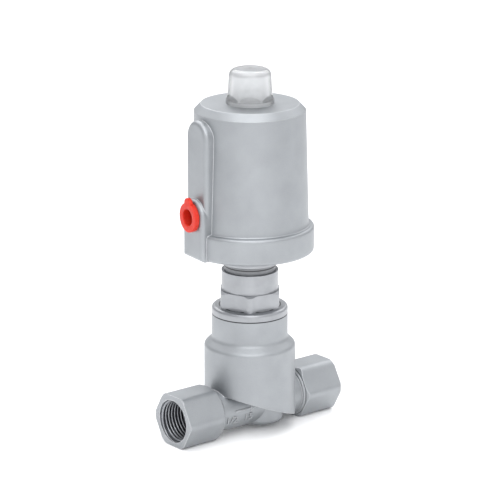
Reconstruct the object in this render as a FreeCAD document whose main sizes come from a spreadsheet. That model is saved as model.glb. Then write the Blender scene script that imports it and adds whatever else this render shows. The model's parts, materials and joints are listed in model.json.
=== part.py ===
import FreeCAD, Part
import math
import os
import types

import Sketcher

# Pneumatic globe valve, G 1/2, normally closed, with a 50 mm piston actuator.
# The origin is the centre of the inlet port's mouth. +X runs along the flow to
# the outlet and +Z up the stem. Lengths are in millimetres. Heights are taken
# from the pipe axis, and the turned pieces are drawn about the stem axis.

Vector = FreeCAD.Vector

SIZES = (
    # Ports and necks
    ("port_thread_r", 10.48, "G 1/2 thread, major radius"),
    ("port_thread_depth", 16.0, "threaded length from the mouth"),
    ("port_wall", 2.27, "thread to the flats of the port's hexagon"),
    ("port_corner", 4.2, "rounding of the hexagon's corners"),
    ("port_length", 21.9, "length of a port's hexagon"),
    ("port_face_over", 0.85, "round end face beyond the flats"),
    ("port_back_over", 0.15, "round inner end beyond the flats"),
    ("neck_gap", 3.4, "bowl to the inner end of a hexagon"),
    ("flow_r", 7.3, "flow bore"),
    ("neck_port_wall", 3.1, "wall of the inlet neck beside the hexagon"),
    ("neck_bowl_wall", 3.8, "wall of the inlet neck under the bowl"),
    ("neck_flare", 13.0, "length over which the inlet neck grows"),
    ("neck_fillet", 1.6, "hollow between the inlet neck and its hexagon"),
    ("outlet_neck_wall", 3.7, "wall of the outlet neck"),
    ("outlet_fillet", 1.0, "hollow between the outlet neck and its hexagon"),
    ("tube_wall", 3.3, "wall of the inlet passage inside the bowl"),
    ("flow_stop", 1.0, "end of the inlet's bore before the turning chamber's axis"),
    ("throat_step", 5.0, "start of the outlet's bore past that axis"),
    # Bowl
    ("bowl_step", 3.7, "bowl beyond the body's neck"),
    ("bowl_wall", 4.4, "wall of the bowl"),
    ("shoulder_z", 30.2, "foot of the sloping shoulder"),
    ("shoulder_rise", 3.6, "height of the sloping shoulder"),
    ("shoulder_round", 2.4, "rounding of the shoulder"),
    ("underside_z", 0.3, "sloping underside at the stem axis"),
    ("underside_fall", 0.385, "fall of the underside per millimetre of flow"),
    ("body_neck_h", 12.0, "height of the body's neck"),
    ("sump_r", 12.0, "round turning chamber under the seat"),
    ("sump_x", 6.0, "its offset towards the outlet"),
    ("sump_drop", 3.2, "its outer floor below the flow bore"),
    ("sump_wall", 3.4, "its wall"),
    ("sump_round", 2.6, "rounding of its lower edge"),
    ("partition_t", 3.0, "partition over the turning chamber"),
    ("seat_rise", 1.9, "sealing face above the inlet passage"),
    ("seat_r", 6.6, "orifice of the seat"),
    ("seat_land", 1.6, "width of the sealing face"),
    ("seat_boss_wall", 3.6, "wall of the boss that carries the seat"),
    ("seat_step", 1.4, "height of the raised sealing face"),
    ("seat_room", 2.1, "room round the disc holder"),
    # Bonnet
    ("neck_wall", 2.5, "wall of the body's neck round the thread"),
    ("bonnet_thread_l", 9.8, "bonnet thread"),
    ("nose_set", 3.1, "nose below the thread, set in from it"),
    ("gasket_t", 1.5, "thickness of the body gasket"),
    ("ledge_gap", 0.5, "nose to the ledge of the body"),
    ("ledge_t", 2.0, "ledge under the gasket, and the taper below it"),
    ("bonnet_flange_t", 4.0, "round flange of the bonnet"),
    ("flange_over", 4.3, "flange beyond the hexagon's flats"),
    ("flange_round", 1.6, "rounding of the flange's top edge"),
    ("bonnet_hex_h", 8.2, "height of the bonnet's hexagon"),
    ("bonnet_hex_corner", 3.2, "rounding of its corners"),
    ("bonnet_hex_top", 0.6, "round top face beyond its flats"),
    ("bonnet_hex_turn", 38.9, "turn of the hexagon, clockwise from above"),
    ("hex_over", 0.45, "flats beyond the round neck"),
    ("bonnet_neck_h", 9.6, "height of the round neck"),
    ("bonnet_neck_wall", 3.85, "neck beyond the nipple"),
    ("nipple_wall", 2.5, "wall of the nipple that the actuator turns on"),
    ("nipple_over", 5.6, "nipple above the ledge of the base"),
    ("swivel_set", 1.35, "swivel washer set in from the neck"),
    ("swivel_t", 3.2, "thickness of the swivel washer"),
    # Stem and its packing
    ("stem_r", 4.0, "stem"),
    ("stem_step", 1.0, "step from the stem to its threaded ends"),
    ("packing_w", 3.4, "width of the packing round the stem"),
    ("packing_washer_t", 1.5, "packing washer"),
    ("packing_spring_l", 10.0, "packing spring as fitted"),
    ("packing_wire", 1.3, "its wire"),
    ("packing_turns", 5.0, "its turns"),
    ("support_t", 2.4, "support rings of the packing"),
    ("v_ring_pitch", 2.05, "height of one V ring in the stack"),
    ("v_ring_rise", 1.1, "depth of the V"),
    ("v_ring_count", 4, "number of V rings"),
    ("stem_seal_l", 3.5, "lip seal of the stem"),
    ("seal_lip", 0.5, "half width of the groove between a seal's lips"),
    ("seal_washer_t", 1.4, "washer on the lip seal"),
    ("circlip_t", 0.9, "circlip in the nipple's bore"),
    ("circlip_w", 1.5, "width of its band inside the bore"),
    ("circlip_depth", 0.6, "depth of its groove"),
    ("circlip_land", 0.9, "nipple's end above the circlip"),
    ("wiper_up", 1.1, "wiper ring above the nose's end"),
    ("wiper_t", 1.6, "wiper ring"),
    ("wiper_w", 2.2, "width of the wiper ring"),
    ("floor_web", 0.8, "web between the wiper and the packing"),
    # Fits
    ("slide_fit", 0.05, "radial clearance of sliding fits"),
    ("loose_fit", 0.3, "radial clearance where nothing bears"),
    ("plug_fit", 0.065, "radial clearance of the plug in its thread"),
    ("end_play", 0.1, "clearance at the ends of rings in grooves"),
    ("ring_squeeze", 0.1, "O-ring section less than its groove"),
    # Disc
    ("stroke", 8.0, "lift of the stem"),
    ("lift_room", 1.2, "disc holder to the bonnet when open"),
    ("holder_over", 2.7, "disc holder beyond the orifice"),
    ("holder_web", 4.3, "disc holder above the soft disc"),
    ("holder_skirt", 0.9, "thickness of its skirt"),
    ("holder_lip", 1.4, "skirt's edge above the seat"),
    ("holder_bevel", 1.5, "bevel of its top edge"),
    ("seat_disc_t", 4.0, "soft disc"),
    ("disc_washer_r", 5.7, "washer under the soft disc"),
    ("disc_washer_t", 1.2, "its thickness"),
    ("disc_nut_hex", 10.0, "nut that clamps the disc, across flats"),
    ("disc_nut_l", 5.0, "its height"),
    ("disc_screw_out", 0.5, "screw end below the nut"),
    # Actuator base
    ("base_step_h", 7.7, "round step under the actuator"),
    ("base_step_round", 1.0, "rounding of the step's lower edge"),
    ("base_ledge_h", 9.6, "ledge for the retaining ring above the swivel washer"),
    ("base_recess", 4.1, "recess round the nipple's end"),
    ("base_thread_l", 7.5, "thread that carries the cover"),
    ("base_thread_step", 1.4, "thread beyond the cylinder bore"),
    ("spigot_l", 4.0, "spigot in the cylinder bore"),
    ("retainer_t", 1.1, "retaining ring on the nipple"),
    ("retainer_over", 1.6, "its outside beyond the nipple"),
    ("retainer_depth", 0.95, "depth of its groove"),
    # Cover
    ("bore_r", 25.0, "cylinder bore"),
    ("foot_wall", 3.4, "wall of the cover above its flange"),
    ("head_wall", 1.75, "wall of the cover below its bevel"),
    ("cover_lip", 1.0, "cover's lower edge below the base plate"),
    ("cover_flange_h", 13.0, "height of the flange"),
    ("cover_flange_reach", 2.6, "flange beyond the wall"),
    ("cover_flange_round", 1.6, "rounding of the flange's edges"),
    ("cover_foot_round", 0.8, "hollow between the wall and the flange"),
    ("cover_h", 59.3, "cover above its flange"),
    ("cover_bevel_h", 3.3, "height of the bevel"),
    ("cover_bevel_w", 3.15, "width of the bevel"),
    ("cover_lid", 4.3, "thickness of the top"),
    ("bore_bevel", 2.0, "bevel at the top of the bore"),
    ("rib_width", 17.4, "rib and port pad"),
    ("rib_set", 0.6, "front of the rib inside the flange's edge"),
    ("rib_below", 5.2, "top of the rib below the cover's top"),
    ("rib_round", 2.0, "rounding of the rib's front edges"),
    ("pad_stand", 1.6, "front of the port pad beyond the flange"),
    ("pad_round", 2.0, "rounding of the pad's front edges"),
    ("air_up", 8.3, "air port's axis above the cylinder's floor"),
    ("air_thread_r", 4.865, "G 1/8 thread, major radius"),
    ("air_thread_depth", 6.0, "threaded length of the air port"),
    ("air_hole_r", 3.0, "hole into the cylinder"),
    ("port_turn", 6.5, "turn of the air port, clockwise from above"),
    # Piston and springs
    ("piston_gap", 1.0, "piston to the cylinder's floor"),
    ("piston_web", 7.0, "web of the piston"),
    ("skirt_gap", 2.5, "relieved skirt inside the bore"),
    ("rim_gap", 0.4, "rim of the piston inside the bore"),
    ("rim_up", 1.7, "rim above the hole of the air port"),
    ("rim_land", 2.0, "rim below the seal"),
    ("mid_land", 1.8, "rim between seal and guide ring"),
    ("top_land", 1.2, "rim above the guide ring"),
    ("piston_wall", 2.0, "wall of the piston's cup"),
    ("piston_hub_wall", 5.15, "wall of the hub"),
    ("piston_hub_h", 6.0, "hub above the cup's floor"),
    ("seal_l", 4.0, "length of the piston seal"),
    ("seal_depth", 3.0, "depth of its groove"),
    ("seal_mouth", 1.5, "depth of the groove between its lips"),
    ("guide_l", 3.0, "length of the guide ring"),
    ("guide_depth", 1.5, "depth of its groove"),
    ("piston_washer_t", 1.5, "washer on the hub"),
    ("piston_washer_set", 1.2, "washer inside the hub's edge"),
    ("piston_nut_hex", 11.0, "piston nut, across flats"),
    ("piston_nut_l", 6.0, "its height"),
    ("screw_out", 4.0, "screw end above the piston nut"),
    ("plate_t", 1.2, "spring plate under the lid"),
    ("plate_set", 0.9, "hole of the spring plate inside the inner spring"),
    ("outer_coil_gap", 1.3, "outer spring inside the cup"),
    ("outer_wire", 3.0, "its wire"),
    ("outer_turns", 5.5, "its turns"),
    ("inner_coil_gap", 2.3, "inner spring round the hub"),
    ("inner_wire", 2.2, "its wire"),
    ("inner_turns", 7.0, "its turns"),
    # Position indicator and dome
    ("rod_r", 3.4, "indicator rod"),
    ("rod_foot", 0.8, "its thicker foot and the bevels of its head"),
    ("rod_web", 1.0, "its length above the screw, and of the taper above that"),
    ("rod_head", 2.2, "its head beyond the rod"),
    ("rod_head_l", 5.0, "length of the head"),
    ("rod_above", 0.7, "head above the cover at rest"),
    ("dome_room", 1.0, "room round the head"),
    ("dome_thread_wall", 1.4, "wall of the dome's threaded foot"),
    ("dome_ring_reach", 3.6, "foot ring beyond the thread"),
    ("dome_ring_t", 1.8, "thickness of the foot ring"),
    ("dome_ring_step", 0.6, "skirt inside the foot ring"),
    ("dome_draft", 0.8, "narrowing of the skirt"),
    ("dome_h", 16.7, "dome above the cover"),
    ("dome_round", 3.5, "rounding of the top"),
    ("dome_wall", 2.3, "wall of the skirt"),
    ("dome_roof", 3.2, "thickness of the roof"),
    ("dome_flat_depth", 1.3, "depth of a wrench flat"),
    ("dome_flat_w", 10.6, "width of a flat"),
    ("dome_flat_arch", 7.0, "radius of a flat's arched top"),
    ("dome_flat_foot", 0.6, "its straight foot"),
    ("dome_turn", 8.9, "turn of the flats, clockwise from above"),
    # Transit plug
    ("plug_gap", 1.1, "flange of the plug to the pad"),
    ("plug_flange_over", 1.935, "flange beyond the thread"),
    ("plug_flange_t", 1.5, "its thickness"),
    ("plug_wall", 0.7, "wall of its shank"),
    ("plug_end_t", 1.2, "its closed end"),
    ("plug_short", 0.5, "its end before the thread's end"),
    ("plug_tab_w", 5.6, "width of the pull tab"),
    ("plug_tab_h", 2.8, "height of the tab above the flange"),
    ("plug_tab_root", 1.0, "tab's root inside the flange"),
    # Round section rings
    ("nipple_ring_up", 5.3, "O-ring on the nipple, above the swivel washer"),
    ("nipple_ring_d", 1.4, "its groove"),
    ("base_ring_up", 2.1, "O-ring on the base, above its thread"),
    ("base_ring_d", 1.6, "its groove"),
    ("dome_ring_d", 1.2, "groove of the dome's O-ring"),
    ("stem_ring_up", 3.0, "O-ring in the piston, above its underside"),
    ("stem_ring_d", 1.3, "its groove"),
    ("ring_room", 1.3, "width of an O-ring's groove to its depth"),
)

CLEAR = 1.0          # how far a cutting outline stands clear of what it cuts
CORNER_REACH = 0.62  # of a hexagon's width across flats: just past its corners
INSIDE_BORE = 0.8    # of the cylinder bore: where the uprights start, well inside it
NUT_FACE = 0.485     # of a nut's width across flats: its round end face
NUT_LEAN = 0.5       # slope of a nut's bevels
GROUND = 0.8         # of a spring's wire: what is left of it where the ends are ground
STEPS_PER_TURN = 14  # straight runs in one turn of a spring

doc = FreeCAD.newDocument("pneumatic_valve")
sheet = doc.addObject("Spreadsheet::Sheet", "Sizes")
parts = []


class Dim:
    """A length or number: its expression on the sheet and what it comes to."""

    def __init__(self, text, value):
        self.text = text
        self.value = float(value)

    def __add__(self, other):
        other = dim(other)
        return Dim(f"({self.text} + {other.text})", self.value + other.value)

    def __sub__(self, other):
        other = dim(other)
        return Dim(f"({self.text} - {other.text})", self.value - other.value)

    def __mul__(self, other):
        other = dim(other)
        return Dim(f"({self.text} * {other.text})", self.value * other.value)

    def __truediv__(self, other):
        other = dim(other)
        return Dim(f"({self.text} / {other.text})", self.value / other.value)

    def __radd__(self, other):
        return dim(other) + self

    def __rsub__(self, other):
        return dim(other) - self

    def __rmul__(self, other):
        return dim(other) * self

    def __neg__(self):
        return Dim(f"(0 - {self.text})", -self.value)


def dim(number):
    if isinstance(number, Dim):
        return number
    return Dim(f"{number:.9g}" if number >= 0 else f"(0 - {-number:.9g})", number)


def fill_sheet():
    """Write the sizes into the sheet and return them as named lengths."""
    named = types.SimpleNamespace()
    for row, (alias, size, note) in enumerate(SIZES, start=1):
        sheet.set(f"A{row}", str(size))
        sheet.setAlias(f"A{row}", alias)
        sheet.set(f"B{row}", note)
        setattr(named, alias, Dim(f"Sizes.{alias}", size))
    doc.recompute()
    return named


S = fill_sheet()

# What follows from the sizes: ports, necks and seat
S.port_hex = 2 * (S.port_thread_r + S.port_wall)
S.port_face_r = S.port_hex / 2 + S.port_face_over
S.port_back_r = S.port_hex / 2 + S.port_back_over
S.neck_port_r = S.flow_r + S.neck_port_wall
S.neck_bowl_r = S.flow_r + S.neck_bowl_wall
S.outlet_neck_r = S.flow_r + S.outlet_neck_wall
S.tube_r = S.flow_r + S.tube_wall
S.flow_end_x = S.sump_x - S.flow_stop
S.throat_x = S.sump_x + S.throat_step
S.sump_floor_z = -S.flow_r - S.sump_drop
S.seat_z = S.tube_r + S.seat_rise
S.seat_boss_r = S.seat_r + S.seat_boss_wall
S.holder_r = S.seat_r + S.holder_over
S.seat_room_r = S.holder_r + S.seat_room

# Radii from the stem outwards
S.disc_screw_r = S.stem_r - S.stem_step
S.wiper_r = S.stem_r + S.wiper_w
S.packing_r = S.stem_r + S.packing_w
S.nipple_r = S.packing_r + S.nipple_wall
S.bonnet_neck_r = S.nipple_r + S.bonnet_neck_wall
S.swivel_r = S.bonnet_neck_r - S.swivel_set
S.bonnet_hex = 2 * (S.bonnet_neck_r + S.hex_over)
S.bonnet_hex_top_r = S.bonnet_hex / 2 + S.bonnet_hex_top
S.body_neck_r = S.bonnet_hex / 2 + S.flange_over
S.bonnet_thread_r = S.body_neck_r - S.neck_wall
S.bonnet_nose_r = S.bonnet_thread_r - S.nose_set
S.ledge_r = S.bonnet_nose_r + S.ledge_gap
S.bowl_r = S.body_neck_r + S.bowl_step
S.chamber_r = S.bowl_r - S.bowl_wall
S.port_back_x = S.bowl_r + S.neck_gap
S.half_length = S.port_back_x + S.port_length
S.stem_bore_r = S.stem_r + S.slide_fit
S.packing_bore_r = S.packing_r - S.slide_fit
S.retainer_r = S.nipple_r + S.retainer_over
S.retainer_groove_r = S.nipple_r - S.retainer_depth
S.base_recess_r = S.nipple_r + S.base_recess

# Heights of body, disc and bonnet
S.body_top_z = S.shoulder_z + S.shoulder_rise + S.body_neck_h
S.holder_top_z = S.seat_z + S.seat_disc_t + S.holder_web
S.bonnet_nose_z = S.holder_top_z + S.stroke + S.lift_room
S.bonnet_thread_z = S.body_top_z - S.bonnet_thread_l
S.gasket_low_z = S.bonnet_thread_z - S.gasket_t
S.bonnet_flange_z = S.body_top_z + S.bonnet_flange_t
S.bonnet_hex_z = S.bonnet_flange_z + S.bonnet_hex_h
S.bonnet_neck_z = S.bonnet_hex_z + S.bonnet_neck_h
S.swivel_top_z = S.bonnet_neck_z + S.swivel_t
S.base_ledge_z = S.swivel_top_z + S.base_ledge_h
S.retainer_low_z = S.base_ledge_z + S.end_play
S.nipple_z = S.base_ledge_z + S.nipple_over
S.nipple_ring_z = S.swivel_top_z + S.nipple_ring_up

# Heights of the packing
S.wiper_z = S.bonnet_nose_z + S.wiper_up
S.packing_floor_z = S.wiper_z + S.wiper_t + S.floor_web
S.washer_top_z = S.packing_floor_z + S.packing_washer_t
S.spring_top_z = S.washer_top_z + S.packing_spring_l
S.v_low_z = S.spring_top_z + S.support_t
S.v_high_z = S.v_low_z + S.v_ring_pitch * S.v_ring_count
S.head_top_z = S.v_high_z + S.support_t
S.circlip_z = S.nipple_z - S.circlip_land - S.circlip_t
S.stem_seal_top_z = S.circlip_z - S.seal_washer_t
S.gland_top_z = S.stem_seal_top_z - S.stem_seal_l

# Actuator
S.base_under_z = S.swivel_top_z + S.base_step_h
S.base_thread_z = S.base_under_z + S.base_thread_l
S.base_top_z = S.base_thread_z + S.spigot_l
S.base_ring_z = S.base_thread_z + S.base_ring_up
S.base_thread_r = S.bore_r + S.base_thread_step
S.cover_bottom_z = S.base_under_z - S.cover_lip
S.cover_flange_z = S.cover_bottom_z + S.cover_flange_h
S.cover_top_z = S.cover_flange_z + S.cover_h
S.cover_bevel_z = S.cover_top_z - S.cover_bevel_h
S.lid_under_z = S.cover_top_z - S.cover_lid
S.plate_under_z = S.lid_under_z - S.plate_t
S.rib_top_z = S.cover_top_z - S.rib_below
S.cover_foot_r = S.bore_r + S.foot_wall
S.cover_bevel_r = S.bore_r + S.head_wall
S.cover_top_r = S.cover_bevel_r - S.cover_bevel_w
S.cover_flange_r = S.cover_foot_r + S.cover_flange_reach
S.rib_front = S.cover_flange_r - S.rib_set
S.pad_front = S.cover_flange_r + S.pad_stand
S.air_z = S.base_top_z + S.air_up
S.air_thread_end = S.pad_front - S.air_thread_depth

# Piston and springs
S.piston_bottom_z = S.base_top_z + S.piston_gap
S.stem_ring_z = S.piston_bottom_z + S.stem_ring_up
S.cup_floor_z = S.piston_bottom_z + S.piston_web
S.piston_hub_z = S.cup_floor_z + S.piston_hub_h
S.piston_rim_z = S.air_z + S.air_hole_r + S.rim_up
S.seal_low_z = S.piston_rim_z + S.rim_land
S.guide_low_z = S.seal_low_z + S.seal_l + S.mid_land
S.piston_top_z = S.guide_low_z + S.guide_l + S.top_land
S.piston_slide_r = S.bore_r - S.slide_fit
S.piston_rim_r = S.bore_r - S.rim_gap
S.piston_skirt_r = S.bore_r - S.skirt_gap
S.piston_hub_r = S.disc_screw_r + S.slide_fit + S.piston_hub_wall
S.piston_washer_r = S.piston_hub_r - S.piston_washer_set
S.piston_nut_z = S.piston_hub_z + S.piston_washer_t
S.screw_top_z = S.piston_nut_z + S.piston_nut_l + S.screw_out
S.outer_coil_r = S.piston_skirt_r - S.piston_wall - S.outer_wire / 2 - S.outer_coil_gap
S.inner_coil_r = S.piston_hub_r + S.inner_wire / 2 + S.inner_coil_gap
S.plate_bore_r = S.inner_coil_r - S.inner_wire / 2 - S.plate_set

# Indicator, dome and plug
S.rod_head_r = S.rod_r + S.rod_head
S.dome_inner_r = S.rod_head_r + S.dome_room
S.dome_thread_r = S.dome_inner_r + S.dome_thread_wall
S.dome_ring_r = S.dome_thread_r + S.dome_ring_reach
S.dome_foot_r = S.dome_ring_r - S.dome_ring_step
S.dome_brow_r = S.dome_foot_r - S.dome_draft
S.dome_cavity_r = S.dome_brow_r - S.dome_wall
S.dome_flat = S.dome_foot_r - S.dome_flat_depth
S.dome_ring_z = S.cover_top_z + S.dome_ring_t
S.dome_top_z = S.cover_top_z + S.dome_h
S.plug_shank_r = S.air_thread_r - S.plug_fit
S.plug_hollow_r = S.plug_shank_r - S.plug_wall
S.plug_flange_r = S.air_thread_r + S.plug_flange_over


def origin_feature(owner, role):
    return next(f for f in owner.Origin.OriginFeatures if f.Role == role)


def new_body(label):
    body = doc.addObject("PartDesign::Body", label)
    body.Label = label
    return body


def place(piece, x=None, z=None, clockwise=None):
    """Set the piece's place in the valve, bound to the sheet."""
    spin = clockwise.value if clockwise else 0.0
    turn = FreeCAD.Rotation(Vector(0, 0, -1), spin)
    spot = Vector(x.value if x else 0.0, 0.0, z.value if z else 0.0)
    piece.Placement = FreeCAD.Placement(spot, turn)
    if x:
        piece.setExpression("Placement.Base.x", x.text)
    if z:
        piece.setExpression("Placement.Base.z", z.text)
    if clockwise:
        piece.setExpression("Placement.Rotation.Angle", clockwise.text)


def keep(piece, clockwise=None):
    """Put a piece that is drawn about the stem on the stem's axis and list it."""
    place(piece, x=S.half_length, clockwise=clockwise)
    parts.append(piece)
    return piece


def arc_centre(start, end, radius):
    """Centre of the arc from start to end: left of the chord if radius > 0."""
    chord = end - start
    rise = math.sqrt(max(radius * radius - chord.Length ** 2 / 4, 0.0))
    left = Vector(-chord.y, chord.x, 0).normalize()
    return (start + end) / 2 + left * math.copysign(rise, radius)


def arc_edge(start, end, radius):
    centre = arc_centre(start, end, radius)
    first, last = (start, end) if radius > 0 else (end, start)
    angles = [math.atan2(p.y - centre.y, p.x - centre.x) for p in (first, last)]
    circle = Part.Circle(centre, Vector(0, 0, 1), abs(radius))
    return Part.ArcOfCircle(circle, *angles)


def outline(owner, role, name, corners, offset=None):
    """A closed sketch on an origin plane, every corner bound to the sheet.

    A corner is (x, y), or (x, y, radius) where an arc leads to it. A positive
    radius bulges outward on an outline that is drawn anticlockwise.
    """
    sketch = owner.newObject("Sketcher::SketchObject", name)
    sketch.AttachmentSupport = (origin_feature(owner, role), [""])
    sketch.MapMode = "FlatFace"
    if offset is not None:
        offset = dim(offset)
        sketch.AttachmentOffset = FreeCAD.Placement(Vector(0, 0, offset.value), FreeCAD.Rotation())
        sketch.setExpression("AttachmentOffset.Base.z", offset.text)
    spots = [Vector(dim(c[0]).value, dim(c[1]).value, 0) for c in corners]
    edges, ends = [], []
    for i, start in enumerate(spots):
        after = (i + 1) % len(spots)
        radius = dim(corners[after][2]).value if len(corners[after]) > 2 else 0
        if radius:
            edges.append(arc_edge(start, spots[after], radius))
        else:
            edges.append(Part.LineSegment(start, spots[after]))
        ends.append((1, 2) if radius >= 0 else (2, 1))
    sketch.addGeometry(edges, False)
    for i, corner in enumerate(corners):
        after = (i + 1) % len(corners)
        sketch.addConstraint(Sketcher.Constraint("Coincident", i, ends[i][1], after, ends[after][0]))
        for kind, axis, distance in (("DistanceX", -2, corner[0]), ("DistanceY", -1, corner[1])):
            if isinstance(distance, Dim):
                spot = Sketcher.Constraint(kind, -1, 1, i, ends[i][0], distance.value)
                bind(sketch, spot, distance)
            elif distance == 0:
                sketch.addConstraint(Sketcher.Constraint("PointOnObject", i, ends[i][0], axis))
            else:
                sketch.addConstraint(Sketcher.Constraint(kind, -1, 1, i, ends[i][0], float(distance)))
        if len(corners[after]) > 2:
            radius = dim(corners[after][2])
            size = radius if radius.value > 0 else -radius
            bind(sketch, Sketcher.Constraint("Radius", i, size.value), size)
    return sketch


def bind(sketch, constraint, size):
    index = sketch.addConstraint(constraint)
    sketch.setExpression(f"Constraints[{index}]", size.text)


def ring_sketch(owner, role, name, radius, x=0, y=0, offset=None):
    """A circle on an origin plane."""
    sketch = owner.newObject("Sketcher::SketchObject", name)
    sketch.AttachmentSupport = (origin_feature(owner, role), [""])
    sketch.MapMode = "FlatFace"
    if offset is not None:
        offset = dim(offset)
        sketch.AttachmentOffset = FreeCAD.Placement(Vector(0, 0, offset.value), FreeCAD.Rotation())
        sketch.setExpression("AttachmentOffset.Base.z", offset.text)
    centre = Vector(dim(x).value, dim(y).value, 0)
    sketch.addGeometry(Part.Circle(centre, Vector(0, 0, 1), radius.value), False)
    bind(sketch, Sketcher.Constraint("Radius", 0, radius.value), radius)
    for kind, axis, distance in (("DistanceX", -2, x), ("DistanceY", -1, y)):
        if isinstance(distance, Dim):
            bind(sketch, Sketcher.Constraint(kind, -1, 1, 0, 3, distance.value), distance)
        else:
            sketch.addConstraint(Sketcher.Constraint("PointOnObject", 0, 3, axis))
    return sketch


def revolve(owner, sketch, axis="V_Axis", cut=False):
    kind = "PartDesign::Groove" if cut else "PartDesign::Revolution"
    feature = owner.newObject(kind, f"{sketch.Name}_turn")
    feature.Profile = sketch
    feature.ReferenceAxis = (sketch, [axis])
    feature.Angle = 360
    return feature


def extrude(owner, sketch, length=None, cut=False, reverse=False, both=False):
    """Pad or pocket; without a length it goes through everything."""
    kind = "PartDesign::Pocket" if cut else "PartDesign::Pad"
    feature = owner.newObject(kind, f"{sketch.Name}_run")
    feature.Profile = sketch
    if length is None:
        feature.Type = "ThroughAll"
    else:
        length = dim(length)
        feature.Length = length.value
        feature.setExpression("Length", length.text)
    feature.Reversed = reverse
    if both:
        feature.SideType = "Symmetric"
    return feature


def dress(owner, kind, size, test):
    """Fillet or chamfer the edges of the body so far that pass the test."""
    doc.recompute()
    base = owner.Tip
    names = [f"Edge{i}" for i, edge in enumerate(base.Shape.Edges, start=1) if test(edge)]
    if not names:
        raise ValueError(f"{owner.Label}: no edge to {kind.lower()}")
    feature = owner.newObject(f"PartDesign::{kind}", f"{owner.Name}_{kind.lower()}")
    feature.Base = (base, names)
    side = "Radius" if kind == "Fillet" else "Size"
    setattr(feature, side, size.value)
    feature.setExpression(side, size.text)
    return feature


def near(a, b):
    return abs(a - b) < 1e-4


def rings(*wanted):
    """Edges that are full circles about the stem at (radius, height)."""
    def test(edge):
        curve = edge.Curve
        if not isinstance(curve, Part.Circle):
            return False
        return any(near(curve.Radius, r.value) and near(curve.Center.z, z.value) for r, z in wanted)
    return test


def in_plane_x(x):
    """Edges that lie in the plane at x."""
    def test(edge):
        box = edge.BoundBox
        return near(box.XMin, x.value) and near(box.XMax, x.value)
    return test


def turned(label, corners):
    """A piece turned about the stem axis from one closed outline."""
    body = new_body(label)
    revolve(body, outline(body, "XZ_Plane", f"{label}_profile", corners))
    return body


def washer(label, inner, outer, low, high):
    return turned(label, ((inner, low), (outer, low), (outer, high), (inner, high)))


def hexagon(across, corner=None):
    """Corners of a hexagon with flats across x, anticlockwise."""
    half = across / 2
    points = []
    for k in range(6):
        c, s = math.cos(math.radians(60 * k)), math.sin(math.radians(60 * k))
        if corner is None:
            point_c = math.cos(math.radians(60 * k + 30))
            point_s = math.sin(math.radians(60 * k + 30))
            reach = half / math.cos(math.radians(30))
            points.append((reach * point_c, reach * point_s))
            continue
        run = (half - corner) * math.tan(math.radians(30))
        points.append((half * c + run * s, half * s - run * c, corner))
        points.append((half * c - run * s, half * s + run * c))
    return points


def nut(label, across, bore, low, length):
    """A hexagon nut on the stem, bevelled at both ends."""
    body = new_body(label)
    sketch = outline(body, "XY_Plane", f"{label}_hexagon", hexagon(across), offset=low)
    extrude(body, sketch, length)
    reach = across * CORNER_REACH
    flat = across * NUT_FACE
    lean = (reach - flat) * NUT_LEAN
    high = low + length
    foot = ((flat, low), (reach, low), (reach, low + lean))
    head = ((reach, high - lean), (reach, high), (flat, high))
    revolve(body, outline(body, "XZ_Plane", f"{label}_foot_bevel", foot), cut=True)
    revolve(body, outline(body, "XZ_Plane", f"{label}_head_bevel", head), cut=True)
    hole = ring_sketch(body, "XY_Plane", f"{label}_bore", bore, offset=low)
    extrude(body, hole, length, cut=True, reverse=True)
    return body


def o_ring(label, mean, groove, height):
    """A ring of round section that fills its groove but for the squeeze."""
    ring = doc.addObject("Part::Torus", label)
    ring.Label = label
    section = groove - S.ring_squeeze
    for side, size in (("Radius1", mean), ("Radius2", section / 2)):
        setattr(ring, side, size.value)
        ring.setExpression(side, size.text)
    place(ring, x=S.half_length, z=height)
    parts.append(ring)


def wire_ring(centre, outward, radius):
    """Six-sided section of a spring's wire, in the plane of outward and the stem."""
    upward = Vector(0, 0, 1)
    corners = []
    for side in range(7):
        lean = math.radians(60 * side)
        corners.append(centre + outward * (radius * math.cos(lean)) + upward * (radius * math.sin(lean)))
    return Part.makePolygon(corners)


def coil(label, mean, wire, turns, low, high):
    """A closed coil spring about the stem, its ends ground flat on low and high.

    The wire is a six-sided bar that follows the helix in short straight runs.
    """
    rise = (high.value - low.value - wire.value * GROUND) / (turns.value - 1)
    sections = []
    for k in range(round(turns.value * STEPS_PER_TURN) + 1):
        turn = k / STEPS_PER_TURN
        angle = 2 * math.pi * turn
        outward = Vector(math.cos(angle), math.sin(angle), 0)
        climb = min(max(turn - 0.5, 0.0), turns.value - 1) * rise
        centre = outward * mean.value + Vector(0, 0, climb)
        sections.append(wire_ring(centre, outward, wire.value / 2))
    bar = Part.makeLoft(sections, True, True)
    bar.translate(Vector(0, 0, low.value + wire.value * GROUND / 2))
    tube = Part.makeCylinder(mean.value + wire.value, high.value - low.value, Vector(0, 0, low.value))
    solid = bar.common(tube).Solids[0]
    if solid.Volume < 0:
        solid.reverse()
    spring = doc.addObject("Part::Feature", label)
    spring.Label = label
    spring.Shape = solid
    keep(spring)


def sloping(x, lift=0.0):
    """Height of the sloping underside at x, lifted by a wall where asked."""
    return S.underside_z + lift - S.underside_fall * x


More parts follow.
